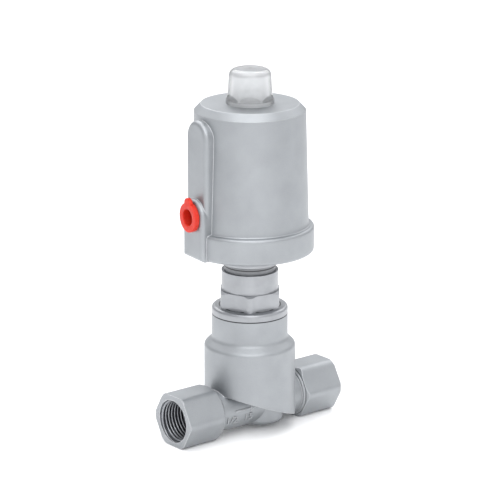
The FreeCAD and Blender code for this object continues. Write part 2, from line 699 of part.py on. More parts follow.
def make_casting():
    """Outside of the cast body, solid: bowl, necks, turning chamber and ports."""
    body = new_body("casting")
    reach = S.bowl_r + 2 * CLEAR
    lowest = sloping(reach) - CLEAR
    shoulder_top = S.shoulder_z + S.shoulder_rise
    bowl = outline(body, "XZ_Plane", "bowl_profile", (
        (0, lowest), (S.bowl_r, lowest), (S.bowl_r, S.shoulder_z),
        (S.body_neck_r, shoulder_top), (S.body_neck_r, S.body_top_z), (0, S.body_top_z)))
    revolve(body, bowl)
    under = outline(body, "XZ_Plane", "underside", (
        (-reach, lowest - CLEAR), (reach, lowest - CLEAR), (reach, sloping(reach)),
        (-reach, sloping(-reach))))
    extrude(body, under, cut=True, both=True)
    dress(body, "Fillet", S.shoulder_round,
          rings((S.bowl_r, S.shoulder_z), (S.body_neck_r, shoulder_top)))
    sump = ring_sketch(body, "XY_Plane", "sump_round", S.sump_r, x=S.sump_x, offset=S.sump_floor_z)
    extrude(body, sump, sloping(S.sump_x - S.sump_r) - S.sump_floor_z)
    dress(body, "Fillet", S.sump_round, rings((S.sump_r, S.sump_floor_z)))
    add_necks(body)
    for end, start in (("inlet", -S.half_length), ("outlet", S.port_back_x)):
        sketch = outline(body, "YZ_Plane", f"{end}_hexagon", port_hexagon(), offset=start)
        extrude(body, sketch, S.port_length)
    bevel_ports(body)
    return body


def add_necks(body):
    """Turned necks from the ports' hexagons into the bowl, hollowed at the hexagons."""
    back = S.port_back_x
    wide = S.neck_port_r + S.neck_fillet
    inlet = outline(body, "XZ_Plane", "inlet_neck", (
        (-back - CLEAR, 0), (S.sump_x, 0), (S.sump_x, S.neck_bowl_r),
        (S.neck_flare - back, S.neck_bowl_r), (S.neck_fillet - back, S.neck_port_r),
        (-back, wide, S.neck_fillet), (-back - CLEAR, wide)))
    revolve(body, inlet, "H_Axis")
    wide = S.outlet_neck_r + S.outlet_fillet
    outlet = outline(body, "XZ_Plane", "outlet_neck", (
        (S.sump_x, 0), (back + CLEAR, 0), (back + CLEAR, wide), (back, wide),
        (back - S.outlet_fillet, S.outlet_neck_r, S.outlet_fillet), (S.sump_x, S.outlet_neck_r)))
    revolve(body, outlet, "H_Axis")


def port_hexagon():
    """The port's hexagon with one flat on top."""
    return [(y, -x, *rest) for x, y, *rest in hexagon(S.port_hex, S.port_corner)]


def bevel_ports(body):
    """Turned bevels at both ends of both hexagons."""
    reach = S.port_hex * CORNER_REACH
    face, back = S.half_length, S.port_back_x
    out_run = reach - S.port_face_r
    in_run = reach - S.port_back_r
    cuts = (
        ("inlet_face", ((-face, S.port_face_r), (out_run - face, reach), (-face, reach))),
        ("inlet_back", ((-back, S.port_back_r), (-back, reach), (-back - in_run, reach))),
        ("outlet_back", ((back, S.port_back_r), (back + in_run, reach), (back, reach))),
        ("outlet_face", ((face, S.port_face_r), (face, reach), (face - out_run, reach))),
    )
    for name, corners in cuts:
        revolve(body, outline(body, "XZ_Plane", f"{name}_bevel", corners), "H_Axis", cut=True)


def port_core(body, name, side, deepest):
    """Thread bore and flow bore of one port."""
    face = S.half_length * side
    end = S.half_length - S.port_thread_depth
    run_out = end - (S.port_thread_r - S.flow_r)
    corners = [
        (deepest, 0), (face, 0), (face, S.port_thread_r), (end * side, S.port_thread_r),
        (run_out * side, S.flow_r), (deepest, S.flow_r)]
    if side < 0:
        corners.reverse()
    revolve(body, outline(body, "XZ_Plane", name, corners), "H_Axis")


def make_inlet_core():
    """The hollow from the inlet to the seat: bore, turning chamber, orifice."""
    body = new_body("inlet_core")
    floor = S.sump_floor_z + S.sump_wall
    hollow_r = S.sump_r - S.sump_wall
    sump = ring_sketch(body, "XY_Plane", "sump_hollow", hollow_r, x=S.sump_x, offset=floor)
    extrude(body, sump, S.flow_r - floor)
    low_x = S.sump_x - hollow_r - CLEAR
    high_x = S.sump_x + hollow_r + CLEAR
    lift = S.bowl_wall - S.partition_t
    roof = outline(body, "XZ_Plane", "sump_roof", (
        (low_x, sloping(low_x, lift)), (high_x, sloping(high_x, lift)), (high_x, S.flow_r + CLEAR),
        (low_x, S.flow_r + CLEAR)))
    extrude(body, roof, cut=True, both=True)
    port_core(body, "inlet_bore", -1, S.flow_end_x)
    orifice = ring_sketch(body, "XY_Plane", "orifice", S.seat_r, offset=0)
    extrude(body, orifice, S.seat_z + CLEAR)
    return body


def make_outlet_core():
    """The hollow of the outlet port, as far as the bowl's chamber."""
    body = new_body("outlet_core")
    port_core(body, "outlet_bore", 1, S.sump_x + S.sump_r - CLEAR)
    return body


def make_chamber_core():
    """The hollow of the bowl: it stands on the sloping partition and goes round
    the inlet neck and the seat's boss."""
    body = new_body("chamber_core")
    reach = S.bowl_r
    bottom = sloping(S.chamber_r) - 2 * CLEAR
    ledge_low = S.gasket_low_z - S.ledge_t
    chamber = outline(body, "XZ_Plane", "chamber_profile", (
        (0, bottom), (S.chamber_r, bottom), (S.chamber_r, ledge_low - S.ledge_t), (S.ledge_r, ledge_low),
        (S.ledge_r, S.gasket_low_z), (S.bonnet_thread_r, S.gasket_low_z),
        (S.bonnet_thread_r, S.body_top_z), (0, S.body_top_z)))
    revolve(body, chamber)
    throat_end = S.bowl_r - 2 * CLEAR
    throat = outline(body, "XZ_Plane", "throat", (
        (S.throat_x, 0), (throat_end, 0), (throat_end, S.flow_r), (S.throat_x, S.flow_r)))
    revolve(body, throat, "H_Axis")
    partition = outline(body, "XZ_Plane", "partition", (
        (-reach, bottom - CLEAR), (reach, bottom - CLEAR), (reach, sloping(reach, S.bowl_wall)),
        (-reach, sloping(-reach, S.bowl_wall))))
    extrude(body, partition, cut=True, both=True)
    tube_end = S.flow_end_x + S.sump_wall
    tube = ring_sketch(body, "YZ_Plane", "inlet_tube", S.tube_r, offset=tube_end)
    extrude(body, tube, reach + tube_end, cut=True)
    add_seat(body, bottom)
    return body


def add_seat(body, bottom):
    """Leave the boss with its raised sealing face, and make room for the disc."""
    step_z = S.seat_z - S.seat_step
    land_r = S.seat_r + S.seat_land
    boss = outline(body, "XZ_Plane", "seat_boss", (
        (0, bottom - CLEAR), (S.seat_boss_r, bottom - CLEAR), (S.seat_boss_r, step_z),
        (land_r + S.seat_step, step_z), (land_r, S.seat_z), (0, S.seat_z)))
    revolve(body, boss, cut=True)
    room_z = S.seat_z + S.seat_disc_t
    room = outline(body, "XZ_Plane", "seat_room", (
        (land_r, S.seat_z), (land_r + S.seat_step, step_z), (S.seat_room_r, step_z),
        (S.seat_room_r, room_z), (land_r, room_z)))
    revolve(body, room)


def make_valve_body():
    """The casting less its hollows."""
    casting = make_casting()
    hollow = doc.addObject("Part::MultiFuse", "flow_hollow")
    hollow.Shapes = [make_inlet_core(), make_chamber_core(), make_outlet_core()]
    body = doc.addObject("Part::Cut", "valve_body")
    body.Label = "valve_body"
    body.Base = casting
    body.Tool = hollow
    keep(body)


def make_bonnet():
    """Screwed bonnet: nose, thread, flange, hexagon, neck and nipple."""
    body = new_body("bonnet")
    thread_r = S.bonnet_thread_r - S.slide_fit
    outside = outline(body, "XZ_Plane", "bonnet_outside", (
        (0, S.bonnet_nose_z), (S.bonnet_nose_r, S.bonnet_nose_z), (S.bonnet_nose_r, S.bonnet_thread_z),
        (thread_r, S.bonnet_thread_z), (thread_r, S.body_top_z), (S.body_neck_r, S.body_top_z),
        (S.body_neck_r, S.bonnet_flange_z), (S.bonnet_neck_r, S.bonnet_flange_z),
        (S.bonnet_neck_r, S.bonnet_neck_z), (S.nipple_r, S.bonnet_neck_z), (S.nipple_r, S.nipple_z),
        (0, S.nipple_z)))
    revolve(body, outside)
    dress(body, "Fillet", S.flange_round, rings((S.body_neck_r, S.bonnet_flange_z)))
    hexes = outline(body, "XY_Plane", "bonnet_hexagon", hexagon(S.bonnet_hex, S.bonnet_hex_corner),
                    offset=S.bonnet_flange_z)
    extrude(body, hexes, S.bonnet_hex_h)
    reach = S.bonnet_hex * CORNER_REACH
    bevel = outline(body, "XZ_Plane", "hexagon_bevel", (
        (S.bonnet_hex_top_r, S.bonnet_hex_z), (reach, S.bonnet_hex_z - (reach - S.bonnet_hex_top_r)),
        (reach, S.bonnet_hex_z)))
    revolve(body, bevel, cut=True)
    bore_bonnet(body)
    groove_nipple(body)
    keep(body, clockwise=S.bonnet_hex_turn)


def bore_bonnet(body):
    """Stepped bore: wiper groove, packing box and circlip groove."""
    loose = S.stem_r + S.loose_fit
    wiper_r = S.wiper_r + S.slide_fit
    wiper_low = S.wiper_z - S.end_play
    wiper_high = S.wiper_z + S.wiper_t + S.end_play
    groove_r = S.packing_r + S.circlip_depth
    groove_high = S.circlip_z + S.circlip_t + S.end_play
    bore = outline(body, "XZ_Plane", "bonnet_bore", (
        (0, S.bonnet_nose_z - CLEAR), (loose, S.bonnet_nose_z - CLEAR), (loose, wiper_low),
        (wiper_r, wiper_low), (wiper_r, wiper_high), (loose, wiper_high), (loose, S.packing_floor_z),
        (S.packing_r, S.packing_floor_z), (S.packing_r, S.circlip_z), (groove_r, S.circlip_z),
        (groove_r, groove_high), (S.packing_r, groove_high), (S.packing_r, S.nipple_z + CLEAR),
        (0, S.nipple_z + CLEAR)))
    revolve(body, bore, cut=True)


def groove_nipple(body):
    """Grooves for the retaining ring and the O-ring outside the nipple."""
    ring_room = S.nipple_ring_d * S.ring_room
    grooves = (
        ("retainer_groove", S.retainer_groove_r, S.retainer_low_z, S.retainer_t + S.end_play),
        ("nipple_ring_groove", S.nipple_r + S.slide_fit - S.nipple_ring_d,
         S.nipple_ring_z - ring_room / 2, ring_room),
    )
    outside = S.nipple_r + CLEAR
    for name, floor, low, width in grooves:
        groove = outline(body, "XZ_Plane", name, (
            (floor, low), (outside, low), (outside, low + width), (floor, low + width)))
        revolve(body, groove, cut=True)


def make_packing():
    """Everything round the stem inside the bonnet, from the wiper up."""
    near_r, far_r = S.stem_bore_r, S.packing_bore_r
    loose = S.stem_r + S.loose_fit
    middle = (S.stem_r + S.packing_r) / 2
    keep(washer("wiper_ring", near_r, S.wiper_r, S.wiper_z, S.wiper_z + S.wiper_t))
    keep(washer("packing_washer", loose, far_r, S.packing_floor_z, S.washer_top_z))
    coil("packing_spring", middle, S.packing_wire, S.packing_turns, S.washer_top_z, S.spring_top_z)
    keep(turned("packing_foot", (
        (near_r, S.spring_top_z), (far_r, S.spring_top_z), (far_r, S.v_low_z),
        (middle, S.v_low_z + S.v_ring_rise), (near_r, S.v_low_z))))
    make_v_rings(middle)
    keep(turned("packing_head", (
        (near_r, S.v_high_z), (middle, S.v_high_z + S.v_ring_rise), (far_r, S.v_high_z),
        (far_r, S.head_top_z), (near_r, S.head_top_z))))
    keep(washer("gland_bush", near_r, far_r, S.head_top_z, S.gland_top_z))
    top = S.stem_seal_top_z
    keep(turned("stem_seal", (
        (near_r, S.gland_top_z), (far_r, S.gland_top_z), (far_r, top), (middle + S.seal_lip, top),
        (middle, top - S.seal_mouth), (middle - S.seal_lip, top), (near_r, top))))
    keep(washer("seal_washer", loose, far_r, top, S.circlip_z))
    circlip_r = S.packing_r + S.circlip_depth - S.slide_fit
    keep(washer("seal_circlip", S.packing_r - S.circlip_w, circlip_r, S.circlip_z,
                S.circlip_z + S.circlip_t))


def make_v_rings(middle):
    """The stack of V rings: one ring, repeated up the stem."""
    near_r, far_r = S.stem_bore_r, S.packing_bore_r
    body = new_body("v_rings")
    ring_top_z = S.v_low_z + S.v_ring_pitch - S.slide_fit
    first = revolve(body, outline(body, "XZ_Plane", "v_ring_profile", (
        (near_r, S.v_low_z), (middle, S.v_low_z + S.v_ring_rise), (far_r, S.v_low_z),
        (far_r, ring_top_z), (middle, ring_top_z + S.v_ring_rise), (near_r, ring_top_z))))
    stack = body.newObject("PartDesign::LinearPattern", "v_ring_stack")
    stack.Originals = [first]
    stack.Direction = (origin_feature(body, "Z_Axis"), [""])
    stack.setExpression("Length", (S.v_ring_pitch * (S.v_ring_count - 1)).text)
    stack.setExpression("Occurrences", S.v_ring_count.text)
    body.Tip = stack
    keep(body)


def make_joint_rings():
    """Gasket under the bonnet, and the rings on which the actuator turns."""
    gasket_r = S.bonnet_thread_r - S.slide_fit
    keep(washer("body_gasket", S.ledge_r, gasket_r, S.gasket_low_z, S.bonnet_thread_z))
    keep(washer("swivel_washer", S.nipple_r + S.loose_fit, S.swivel_r, S.bonnet_neck_z, S.swivel_top_z))
    keep(washer("retaining_ring", S.retainer_groove_r + S.slide_fit, S.retainer_r, S.retainer_low_z,
                S.retainer_low_z + S.retainer_t))
    mean = S.nipple_r + S.slide_fit - S.nipple_ring_d / 2
    o_ring("nipple_o_ring", mean, S.nipple_ring_d, S.nipple_ring_z)


def make_stem():
    """Stem with a threaded end at the disc and another at the piston."""
    screw_low_z = S.seat_z - S.disc_washer_t - S.disc_nut_l - S.disc_screw_out
    keep(turned("stem", (
        (0, screw_low_z), (S.disc_screw_r, screw_low_z), (S.disc_screw_r, S.holder_top_z),
        (S.stem_r, S.holder_top_z), (S.stem_r, S.piston_bottom_z), (S.disc_screw_r, S.piston_bottom_z),
        (S.disc_screw_r, S.screw_top_z), (0, S.screw_top_z))))


def make_disc():
    """Disc holder, soft disc, and the washer and nut that clamp it on the stem."""
    bore = S.disc_screw_r + S.slide_fit
    disc_r = S.holder_r - S.holder_skirt
    disc_top_z = S.seat_z + S.seat_disc_t
    lip_z = S.seat_z + S.holder_lip
    washer_low_z = S.seat_z - S.disc_washer_t
    keep(turned("disc_holder", (
        (bore, disc_top_z), (disc_r, disc_top_z), (disc_r, lip_z), (S.holder_r, lip_z),
        (S.holder_r, S.holder_top_z - S.holder_bevel), (S.holder_r - S.holder_bevel, S.holder_top_z),
        (bore, S.holder_top_z))))
    keep(washer("seat_disc", bore, disc_r - S.slide_fit, S.seat_z, disc_top_z))
    keep(washer("disc_washer", bore, S.disc_washer_r, washer_low_z, S.seat_z))
    keep(nut("disc_nut", S.disc_nut_hex, bore, washer_low_z - S.disc_nut_l, S.disc_nut_l))


def make_indicator():
    """Nut and washer that hold the piston, and the rod that shows its height."""
    bore = S.disc_screw_r + S.slide_fit
    keep(washer("piston_washer", bore, S.piston_washer_r, S.piston_hub_z, S.piston_nut_z))
    keep(nut("piston_nut", S.piston_nut_hex, bore, S.piston_nut_z, S.piston_nut_l))
    rod_low_z = S.piston_nut_z + S.piston_nut_l
    rod_top_z = S.cover_top_z + S.rod_above
    head_low_z = rod_top_z - S.rod_head_l
    foot_r = S.rod_r + S.rod_foot
    foot_top_z = S.screw_top_z + S.rod_web
    keep(turned("indicator_rod", (
        (0, S.screw_top_z), (bore, S.screw_top_z), (bore, rod_low_z), (foot_r, rod_low_z),
        (foot_r, foot_top_z), (S.rod_r, foot_top_z + S.rod_web), (S.rod_r, head_low_z),
        (S.rod_head_r, head_low_z), (S.rod_head_r, rod_top_z - S.rod_foot),
        (S.rod_head_r - S.rod_foot, rod_top_z), (0, rod_top_z))))


def make_piston():
    """Cup piston: hub, web, relieved skirt, and rim with two grooves."""
    body = new_body("piston")
    bore = S.disc_screw_r + S.slide_fit
    cup_r = S.piston_skirt_r - S.piston_wall
    seal_floor_r = S.piston_rim_r - S.seal_depth
    guide_floor_r = S.piston_rim_r - S.guide_depth
    seal_high_z = S.seal_low_z + S.seal_l
    guide_high_z = S.guide_low_z + S.guide_l
    revolve(body, outline(body, "XZ_Plane", "piston_profile", (
        (bore, S.piston_bottom_z), (S.piston_skirt_r, S.piston_bottom_z),
        (S.piston_skirt_r, S.piston_rim_z), (S.piston_rim_r, S.piston_rim_z),
        (S.piston_rim_r, S.seal_low_z), (seal_floor_r, S.seal_low_z), (seal_floor_r, seal_high_z),
        (S.piston_rim_r, seal_high_z), (S.piston_rim_r, S.guide_low_z), (guide_floor_r, S.guide_low_z),
        (guide_floor_r, guide_high_z), (S.piston_rim_r, guide_high_z), (S.piston_rim_r, S.piston_top_z),
        (cup_r, S.piston_top_z), (cup_r, S.cup_floor_z), (S.piston_hub_r, S.cup_floor_z),
        (S.piston_hub_r, S.piston_hub_z), (bore, S.piston_hub_z))))
    half = S.stem_ring_d * S.ring_room / 2
    low, high = S.stem_ring_z - half, S.stem_ring_z + half
    revolve(body, outline(body, "XZ_Plane", "stem_ring_groove", (
        (S.disc_screw_r, low), (bore + S.stem_ring_d, low), (bore + S.stem_ring_d, high),
        (S.disc_screw_r, high))), cut=True)
    keep(body)
    o_ring("piston_o_ring", bore + S.stem_ring_d / 2, S.stem_ring_d, S.stem_ring_z)
    make_piston_rings(seal_floor_r + S.slide_fit, guide_floor_r + S.slide_fit)


def make_piston_rings(seal_r, guide_r):
    """Lip seal, open towards the air, and the guide ring above it."""
    low = S.seal_low_z + S.end_play
    high = S.seal_low_z + S.seal_l - S.end_play
    lip = (seal_r + S.piston_slide_r) / 2
    keep(turned("piston_seal", (
        (seal_r, low), (lip - S.seal_lip, low), (lip, low + S.seal_mouth), (lip + S.seal_lip, low),
        (S.piston_slide_r, low), (S.piston_slide_r, high), (seal_r, high))))
    keep(washer("guide_ring", guide_r, S.piston_slide_r, S.guide_low_z + S.end_play,
                S.guide_low_z + S.guide_l - S.end_play))


def make_base():
    """Actuator base: it turns on the nipple and carries the cover."""
    body = new_body("actuator_base")
    bore = S.nipple_r + S.slide_fit
    step_r = S.bonnet_neck_r
    spigot_r = S.bore_r - S.slide_fit
    revolve(body, outline(body, "XZ_Plane", "base_profile", (
        (bore, S.swivel_top_z), (step_r, S.swivel_top_z), (step_r, S.base_under_z),
        (S.base_thread_r, S.base_under_z), (S.base_thread_r, S.base_thread_z), (spigot_r, S.base_thread_z),
        (spigot_r, S.base_top_z), (S.base_recess_r, S.base_top_z), (S.base_recess_r, S.base_ledge_z),
        (bore, S.base_ledge_z))))
    dress(body, "Fillet", S.base_step_round, rings((step_r, S.swivel_top_z)))
    half = S.base_ring_d * S.ring_room / 2
    floor, outside = S.bore_r - S.base_ring_d, S.bore_r + CLEAR
    low, high = S.base_ring_z - half, S.base_ring_z + half
    revolve(body, outline(body, "XZ_Plane", "base_ring_groove", (
        (floor, low), (outside, low), (outside, high), (floor, high))), cut=True)
    keep(body, clockwise=S.port_turn)
    o_ring("base_o_ring", S.bore_r - S.base_ring_d / 2, S.base_ring_d, S.base_ring_z)


def arched(width, low_z, top_z):
    """Outline of an upright with a half-round top, seen along the air port."""
    half = width / 2
    spring_z = top_z - half
    return ((-half, low_z), (half, low_z), (half, spring_z), (0, top_z, half), (-half, spring_z, half))


def make_cover():
    """Cast cover: drafted cup, flange, rib, port pad, cylinder bore, air port."""
    body = new_body("actuator_cover")
    revolve(body, outline(body, "XZ_Plane", "cover_outside", (
        (0, S.cover_bottom_z), (S.cover_flange_r, S.cover_bottom_z), (S.cover_flange_r, S.cover_flange_z),
        (S.cover_foot_r, S.cover_flange_z), (S.cover_bevel_r, S.cover_bevel_z),
        (S.cover_top_r, S.cover_top_z), (0, S.cover_top_z))))
    dress(body, "Fillet", S.cover_flange_round,
          rings((S.cover_flange_r, S.cover_bottom_z), (S.cover_flange_r, S.cover_flange_z)))
    dress(body, "Fillet", S.cover_foot_round, rings((S.cover_foot_r, S.cover_flange_z)))
    add_uprights(body)
    thread_r = S.base_thread_r + S.slide_fit
    mouth_z = S.cover_bottom_z - CLEAR
    revolve(body, outline(body, "XZ_Plane", "cylinder", (
        (0, mouth_z), (thread_r, mouth_z), (thread_r, S.base_thread_z), (S.bore_r, S.base_thread_z),
        (S.bore_r, S.lid_under_z - S.bore_bevel), (S.bore_r - S.bore_bevel, S.lid_under_z),
        (0, S.lid_under_z))), cut=True)
    hole = ring_sketch(body, "XY_Plane", "dome_hole", S.dome_thread_r + S.slide_fit, offset=S.cover_top_z)
    extrude(body, hole, S.cover_lid + CLEAR, cut=True)
    ring_r = (S.dome_thread_r + S.dome_ring_r) / 2
    half = S.dome_ring_d * S.ring_room / 2
    floor, above = S.cover_top_z - S.dome_ring_d, S.cover_top_z + CLEAR
    revolve(body, outline(body, "XZ_Plane", "dome_ring_groove", (
        (ring_r - half, floor), (ring_r + half, floor), (ring_r + half, above),
        (ring_r - half, above))), cut=True)
    drill_air_port(body)
    keep(body, clockwise=S.port_turn)
    o_ring("dome_o_ring", ring_r, S.dome_ring_d, S.cover_top_z - S.dome_ring_d / 2)


def add_uprights(body):
    """Rib up the wall and the deeper pad of the air port, both with round tops."""
    start = S.bore_r * INSIDE_BORE
    pad_top_z = S.air_z + S.rib_width / 2
    uprights = (
        ("rib", S.air_z, S.rib_top_z, S.rib_front, S.rib_round),
        ("port_pad", S.cover_bottom_z, pad_top_z, S.pad_front, S.pad_round),
    )
    for name, low_z, top_z, front, rounding in uprights:
        sketch = outline(body, "YZ_Plane", name, arched(S.rib_width, low_z, top_z), offset=-start)
        extrude(body, sketch, front - start, reverse=True)
        dress(body, "Fillet", rounding, in_plane_x(-front))


def drill_air_port(body):
    """Threaded air port in the pad and its hole into the cylinder."""
    outside, inside = -S.pad_front - CLEAR, -S.bore_r + 3 * CLEAR
    air = outline(body, "XZ_Plane", "air_port", (
        (outside, S.air_z), (inside, S.air_z), (inside, S.air_z + S.air_hole_r),
        (-S.air_thread_end, S.air_z + S.air_hole_r), (-S.air_thread_end, S.air_z + S.air_thread_r),
        (outside, S.air_z + S.air_thread_r)))
    drill = body.newObject("PartDesign::Groove", "air_port_drill")
    drill.Profile = air
    drill.ReferenceAxis = (air, ["Edge1"])
    drill.Angle = 360


def make_springs():
    """Spring plate under the lid and the two springs below it."""
    plate_r = S.bore_r - S.bore_bevel - S.loose_fit
    keep(washer("spring_plate", S.plate_bore_r, plate_r, S.plate_under_z, S.lid_under_z))
    springs = (
        ("outer_spring", S.outer_coil_r, S.outer_wire, S.outer_turns),
        ("inner_spring", S.inner_coil_r, S.inner_wire, S.inner_turns),
    )
    for label, mean, wire, turns in springs:
        coil(label, mean, wire, turns, S.cup_floor_z, S.plate_under_z)


def make_dome():
    """Clear cap: screwed foot, tapered skirt with six wrench flats, rounded top."""
    body = new_body("indicator_dome")
    inner_r, low_z = S.dome_inner_r, S.lid_under_z
    brow_z = S.dome_top_z - S.dome_round
    roof_z = S.dome_top_z - S.dome_roof
    revolve(body, outline(body, "XZ_Plane", "dome_section", (
        (inner_r, low_z), (S.dome_thread_r, low_z), (S.dome_thread_r, S.cover_top_z),
        (S.dome_ring_r, S.cover_top_z), (S.dome_ring_r, S.dome_ring_z), (S.dome_foot_r, S.dome_ring_z),
        (S.dome_brow_r, brow_z), (S.dome_brow_r - S.dome_round, S.dome_top_z, S.dome_round),
        (0, S.dome_top_z), (0, roof_z), (S.dome_cavity_r, roof_z),
        (S.dome_cavity_r, S.dome_ring_z + S.dome_room), (inner_r, S.dome_ring_z))))
    half = S.dome_flat_w / 2
    foot_z = S.dome_ring_z + S.dome_flat_foot
    arch = outline(body, "YZ_Plane", "wrench_flat", (
        (-half, S.dome_ring_z), (half, S.dome_ring_z), (half, foot_z),
        (-half, foot_z, S.dome_flat_arch)), offset=S.dome_flat)
    cut = extrude(body, arch, S.dome_flat_depth + CLEAR, cut=True, reverse=True)
    flats = body.newObject("PartDesign::PolarPattern", "wrench_flats")
    flats.Originals = [cut]
    flats.Axis = (origin_feature(body, "Z_Axis"), [""])
    flats.Angle = 360
    flats.Occurrences = 6
    body.Tip = flats
    keep(body, clockwise=S.dome_turn)


def make_plug():
    """Soft transit plug in the air port: hollow shank, flange and pull tab."""
    body = new_body("port_plug")
    back = S.pad_front + S.plug_gap
    face = back + S.plug_flange_t
    tip = S.air_thread_end + S.plug_short
    floor = tip + S.plug_end_t
    flange_z, shank_z = S.air_z + S.plug_flange_r, S.air_z + S.plug_shank_r
    hollow_z = S.air_z + S.plug_hollow_r
    section = outline(body, "XZ_Plane", "plug_section", (
        (-face, hollow_z), (-face, flange_z), (-back, flange_z), (-back, shank_z), (-tip, shank_z),
        (-tip, S.air_z), (-floor, S.air_z), (-floor, hollow_z)))
    turn = body.newObject("PartDesign::Revolution", "plug_turn")
    turn.Profile = section
    turn.ReferenceAxis = (section, ["Edge6"])
    turn.Angle = 360
    low, high = flange_z - S.plug_tab_root, flange_z + S.plug_tab_h
    tab = outline(body, "YZ_Plane", "pull_tab", arched(S.plug_tab_w, low, high), offset=-back)
    extrude(body, tab, S.plug_flange_t, reverse=True)
    keep(body, clockwise=S.port_turn)


def check_and_export():
    """Stop if a feature failed or a piece is not sound, then write each piece."""
    doc.recompute()
    broken = [o.Label for o in doc.Objects if {"Invalid", "Error"} & set(o.State)]
    if broken:
        raise RuntimeError(f"these objects failed: {broken}")
    for piece in parts:
        if piece.Shape.isNull() or not piece.Shape.isValid() or not piece.Shape.Solids:
            raise RuntimeError(f"{piece.Label} has no valid solid")
    os.makedirs("parts", exist_ok=True)
    for piece in parts:
        piece.Shape.exportStep(f"parts/{piece.Label}.step")
        print(f"{piece.Label}: {len(piece.Shape.Solids)} solids, {piece.Shape.Volume:.1f} mm3")


make_valve_body()
make_joint_rings()
make_bonnet()
make_packing()
make_stem()
make_disc()
make_piston()
make_indicator()
make_base()
make_cover()
make_springs()
make_dome()
make_plug()
check_and_export()
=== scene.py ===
# %% [markdown]
# # A pneumatic valve, dressed for its picture
#
# The valve was drawn in CAD, piece by piece. This notebook loads those pieces,
# gives each one the surface of its real material, and models what CAD leaves
# out: the pipe threads in the ports, the marks that stand up from the casting
# and the soft rims of the moulded plug. At the end each spring is copied into a
# piece of its own.

# %% Load the valve
import json
import math

import bpy
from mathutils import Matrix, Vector

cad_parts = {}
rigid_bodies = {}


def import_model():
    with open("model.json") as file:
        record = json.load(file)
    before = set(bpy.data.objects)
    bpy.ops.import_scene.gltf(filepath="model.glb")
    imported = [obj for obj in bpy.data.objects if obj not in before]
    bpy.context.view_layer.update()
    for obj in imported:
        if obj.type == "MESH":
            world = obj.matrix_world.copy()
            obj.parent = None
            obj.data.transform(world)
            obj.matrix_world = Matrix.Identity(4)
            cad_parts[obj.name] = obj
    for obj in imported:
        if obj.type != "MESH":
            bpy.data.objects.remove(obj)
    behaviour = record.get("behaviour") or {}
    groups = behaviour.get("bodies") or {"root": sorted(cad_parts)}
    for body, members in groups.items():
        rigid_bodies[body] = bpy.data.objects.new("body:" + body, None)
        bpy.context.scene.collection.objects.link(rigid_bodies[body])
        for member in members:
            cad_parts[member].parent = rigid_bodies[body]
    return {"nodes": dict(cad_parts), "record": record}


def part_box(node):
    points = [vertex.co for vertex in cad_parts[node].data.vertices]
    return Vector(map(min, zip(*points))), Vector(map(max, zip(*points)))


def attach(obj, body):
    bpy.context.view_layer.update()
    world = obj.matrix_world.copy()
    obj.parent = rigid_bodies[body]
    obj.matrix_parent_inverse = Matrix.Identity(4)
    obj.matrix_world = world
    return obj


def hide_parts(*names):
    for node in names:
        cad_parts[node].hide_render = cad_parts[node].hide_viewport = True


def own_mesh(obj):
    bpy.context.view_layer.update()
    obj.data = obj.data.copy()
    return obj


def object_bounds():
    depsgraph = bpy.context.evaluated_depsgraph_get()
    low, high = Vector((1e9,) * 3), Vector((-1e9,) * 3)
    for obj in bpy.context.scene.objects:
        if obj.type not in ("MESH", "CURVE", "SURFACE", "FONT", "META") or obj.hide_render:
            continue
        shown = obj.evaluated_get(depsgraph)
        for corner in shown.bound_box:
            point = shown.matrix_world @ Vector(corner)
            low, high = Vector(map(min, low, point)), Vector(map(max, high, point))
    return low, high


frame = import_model()
cad_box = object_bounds()
NODES = frame["nodes"]
MM = 0.001
print(len(NODES), "pieces from CAD, box in mm:",
      [[round(v / MM, 1) for v in corner] for corner in cad_box])

# %% [markdown]
# Blender counts in metres here, and a valve is easier to read in millimetres.
# So every size below is in millimetres and meets MM where it goes into
# Blender. The inlet's mouth is the origin, the flow runs along X, and the stem
# stands on X = 47.5. The floor touches the lowest point of the valve.

# %% Where the valve stands
STEM_X = 47.5
FLOOR_Z = cad_box[0][2] / MM
print("stem at x", STEM_X, "mm, floor at z", round(FLOOR_Z, 2), "mm")

# %% [markdown]
# ## Materials
#
# Colours are easy to read as hex values, the way a photo editor shows them.
# Blender's shaders want linear light, so one function turns the first into the
# second. A second small function adds a shader node, sets its options and
# joins its inputs, so that each material below reads like a list. A Mix node
# keeps a set of sockets for each kind of value: those for colours are the
# inputs 0, 6 and 7 and the output 2.


# %% Helpers for materials
def linear(hex_colour, alpha=1.0):
    """An sRGB hex colour as linear red, green, blue and alpha."""
    channels = [int(hex_colour[i:i + 2], 16) / 255 for i in (1, 3, 5)]
    light = [c / 12.92 if c <= 0.04045 else ((c + 0.055) / 1.055) ** 2.4 for c in channels]
    return (*light, alpha)


def add(tree, kind, settings=None, out=0, **inputs):
    """Add a node, set its options, fill its inputs, and give back one output.

    An input goes by its label, with _ for a space, or by i and its number
    where several share a label. A value is set on it, and a socket is linked.
    """
    made = tree.nodes.new("ShaderNode" + kind)
    for name, value in (settings or {}).items():
        setattr(made, name, value)
    for name, value in inputs.items():
        numbered = name[0] == "i" and name[1:].isdigit()
        socket = made.inputs[int(name[1:]) if numbered else name.replace("_", " ")]
        if isinstance(value, bpy.types.NodeSocket):
            tree.links.new(value, socket)
        else:
            socket.default_value = value
    return made.outputs[out] if made.outputs else made


def new_material(name):
    """An empty material and its node tree."""
    material = bpy.data.materials.new(name)
    material.use_nodes = True
    material.node_tree.nodes.clear()
    return material, material.node_tree


COLOURS = {"data_type": "RGBA"}
print("stainless grey #A5A8AB in linear light:", [round(c, 3) for c in linear("#A5A8AB")])

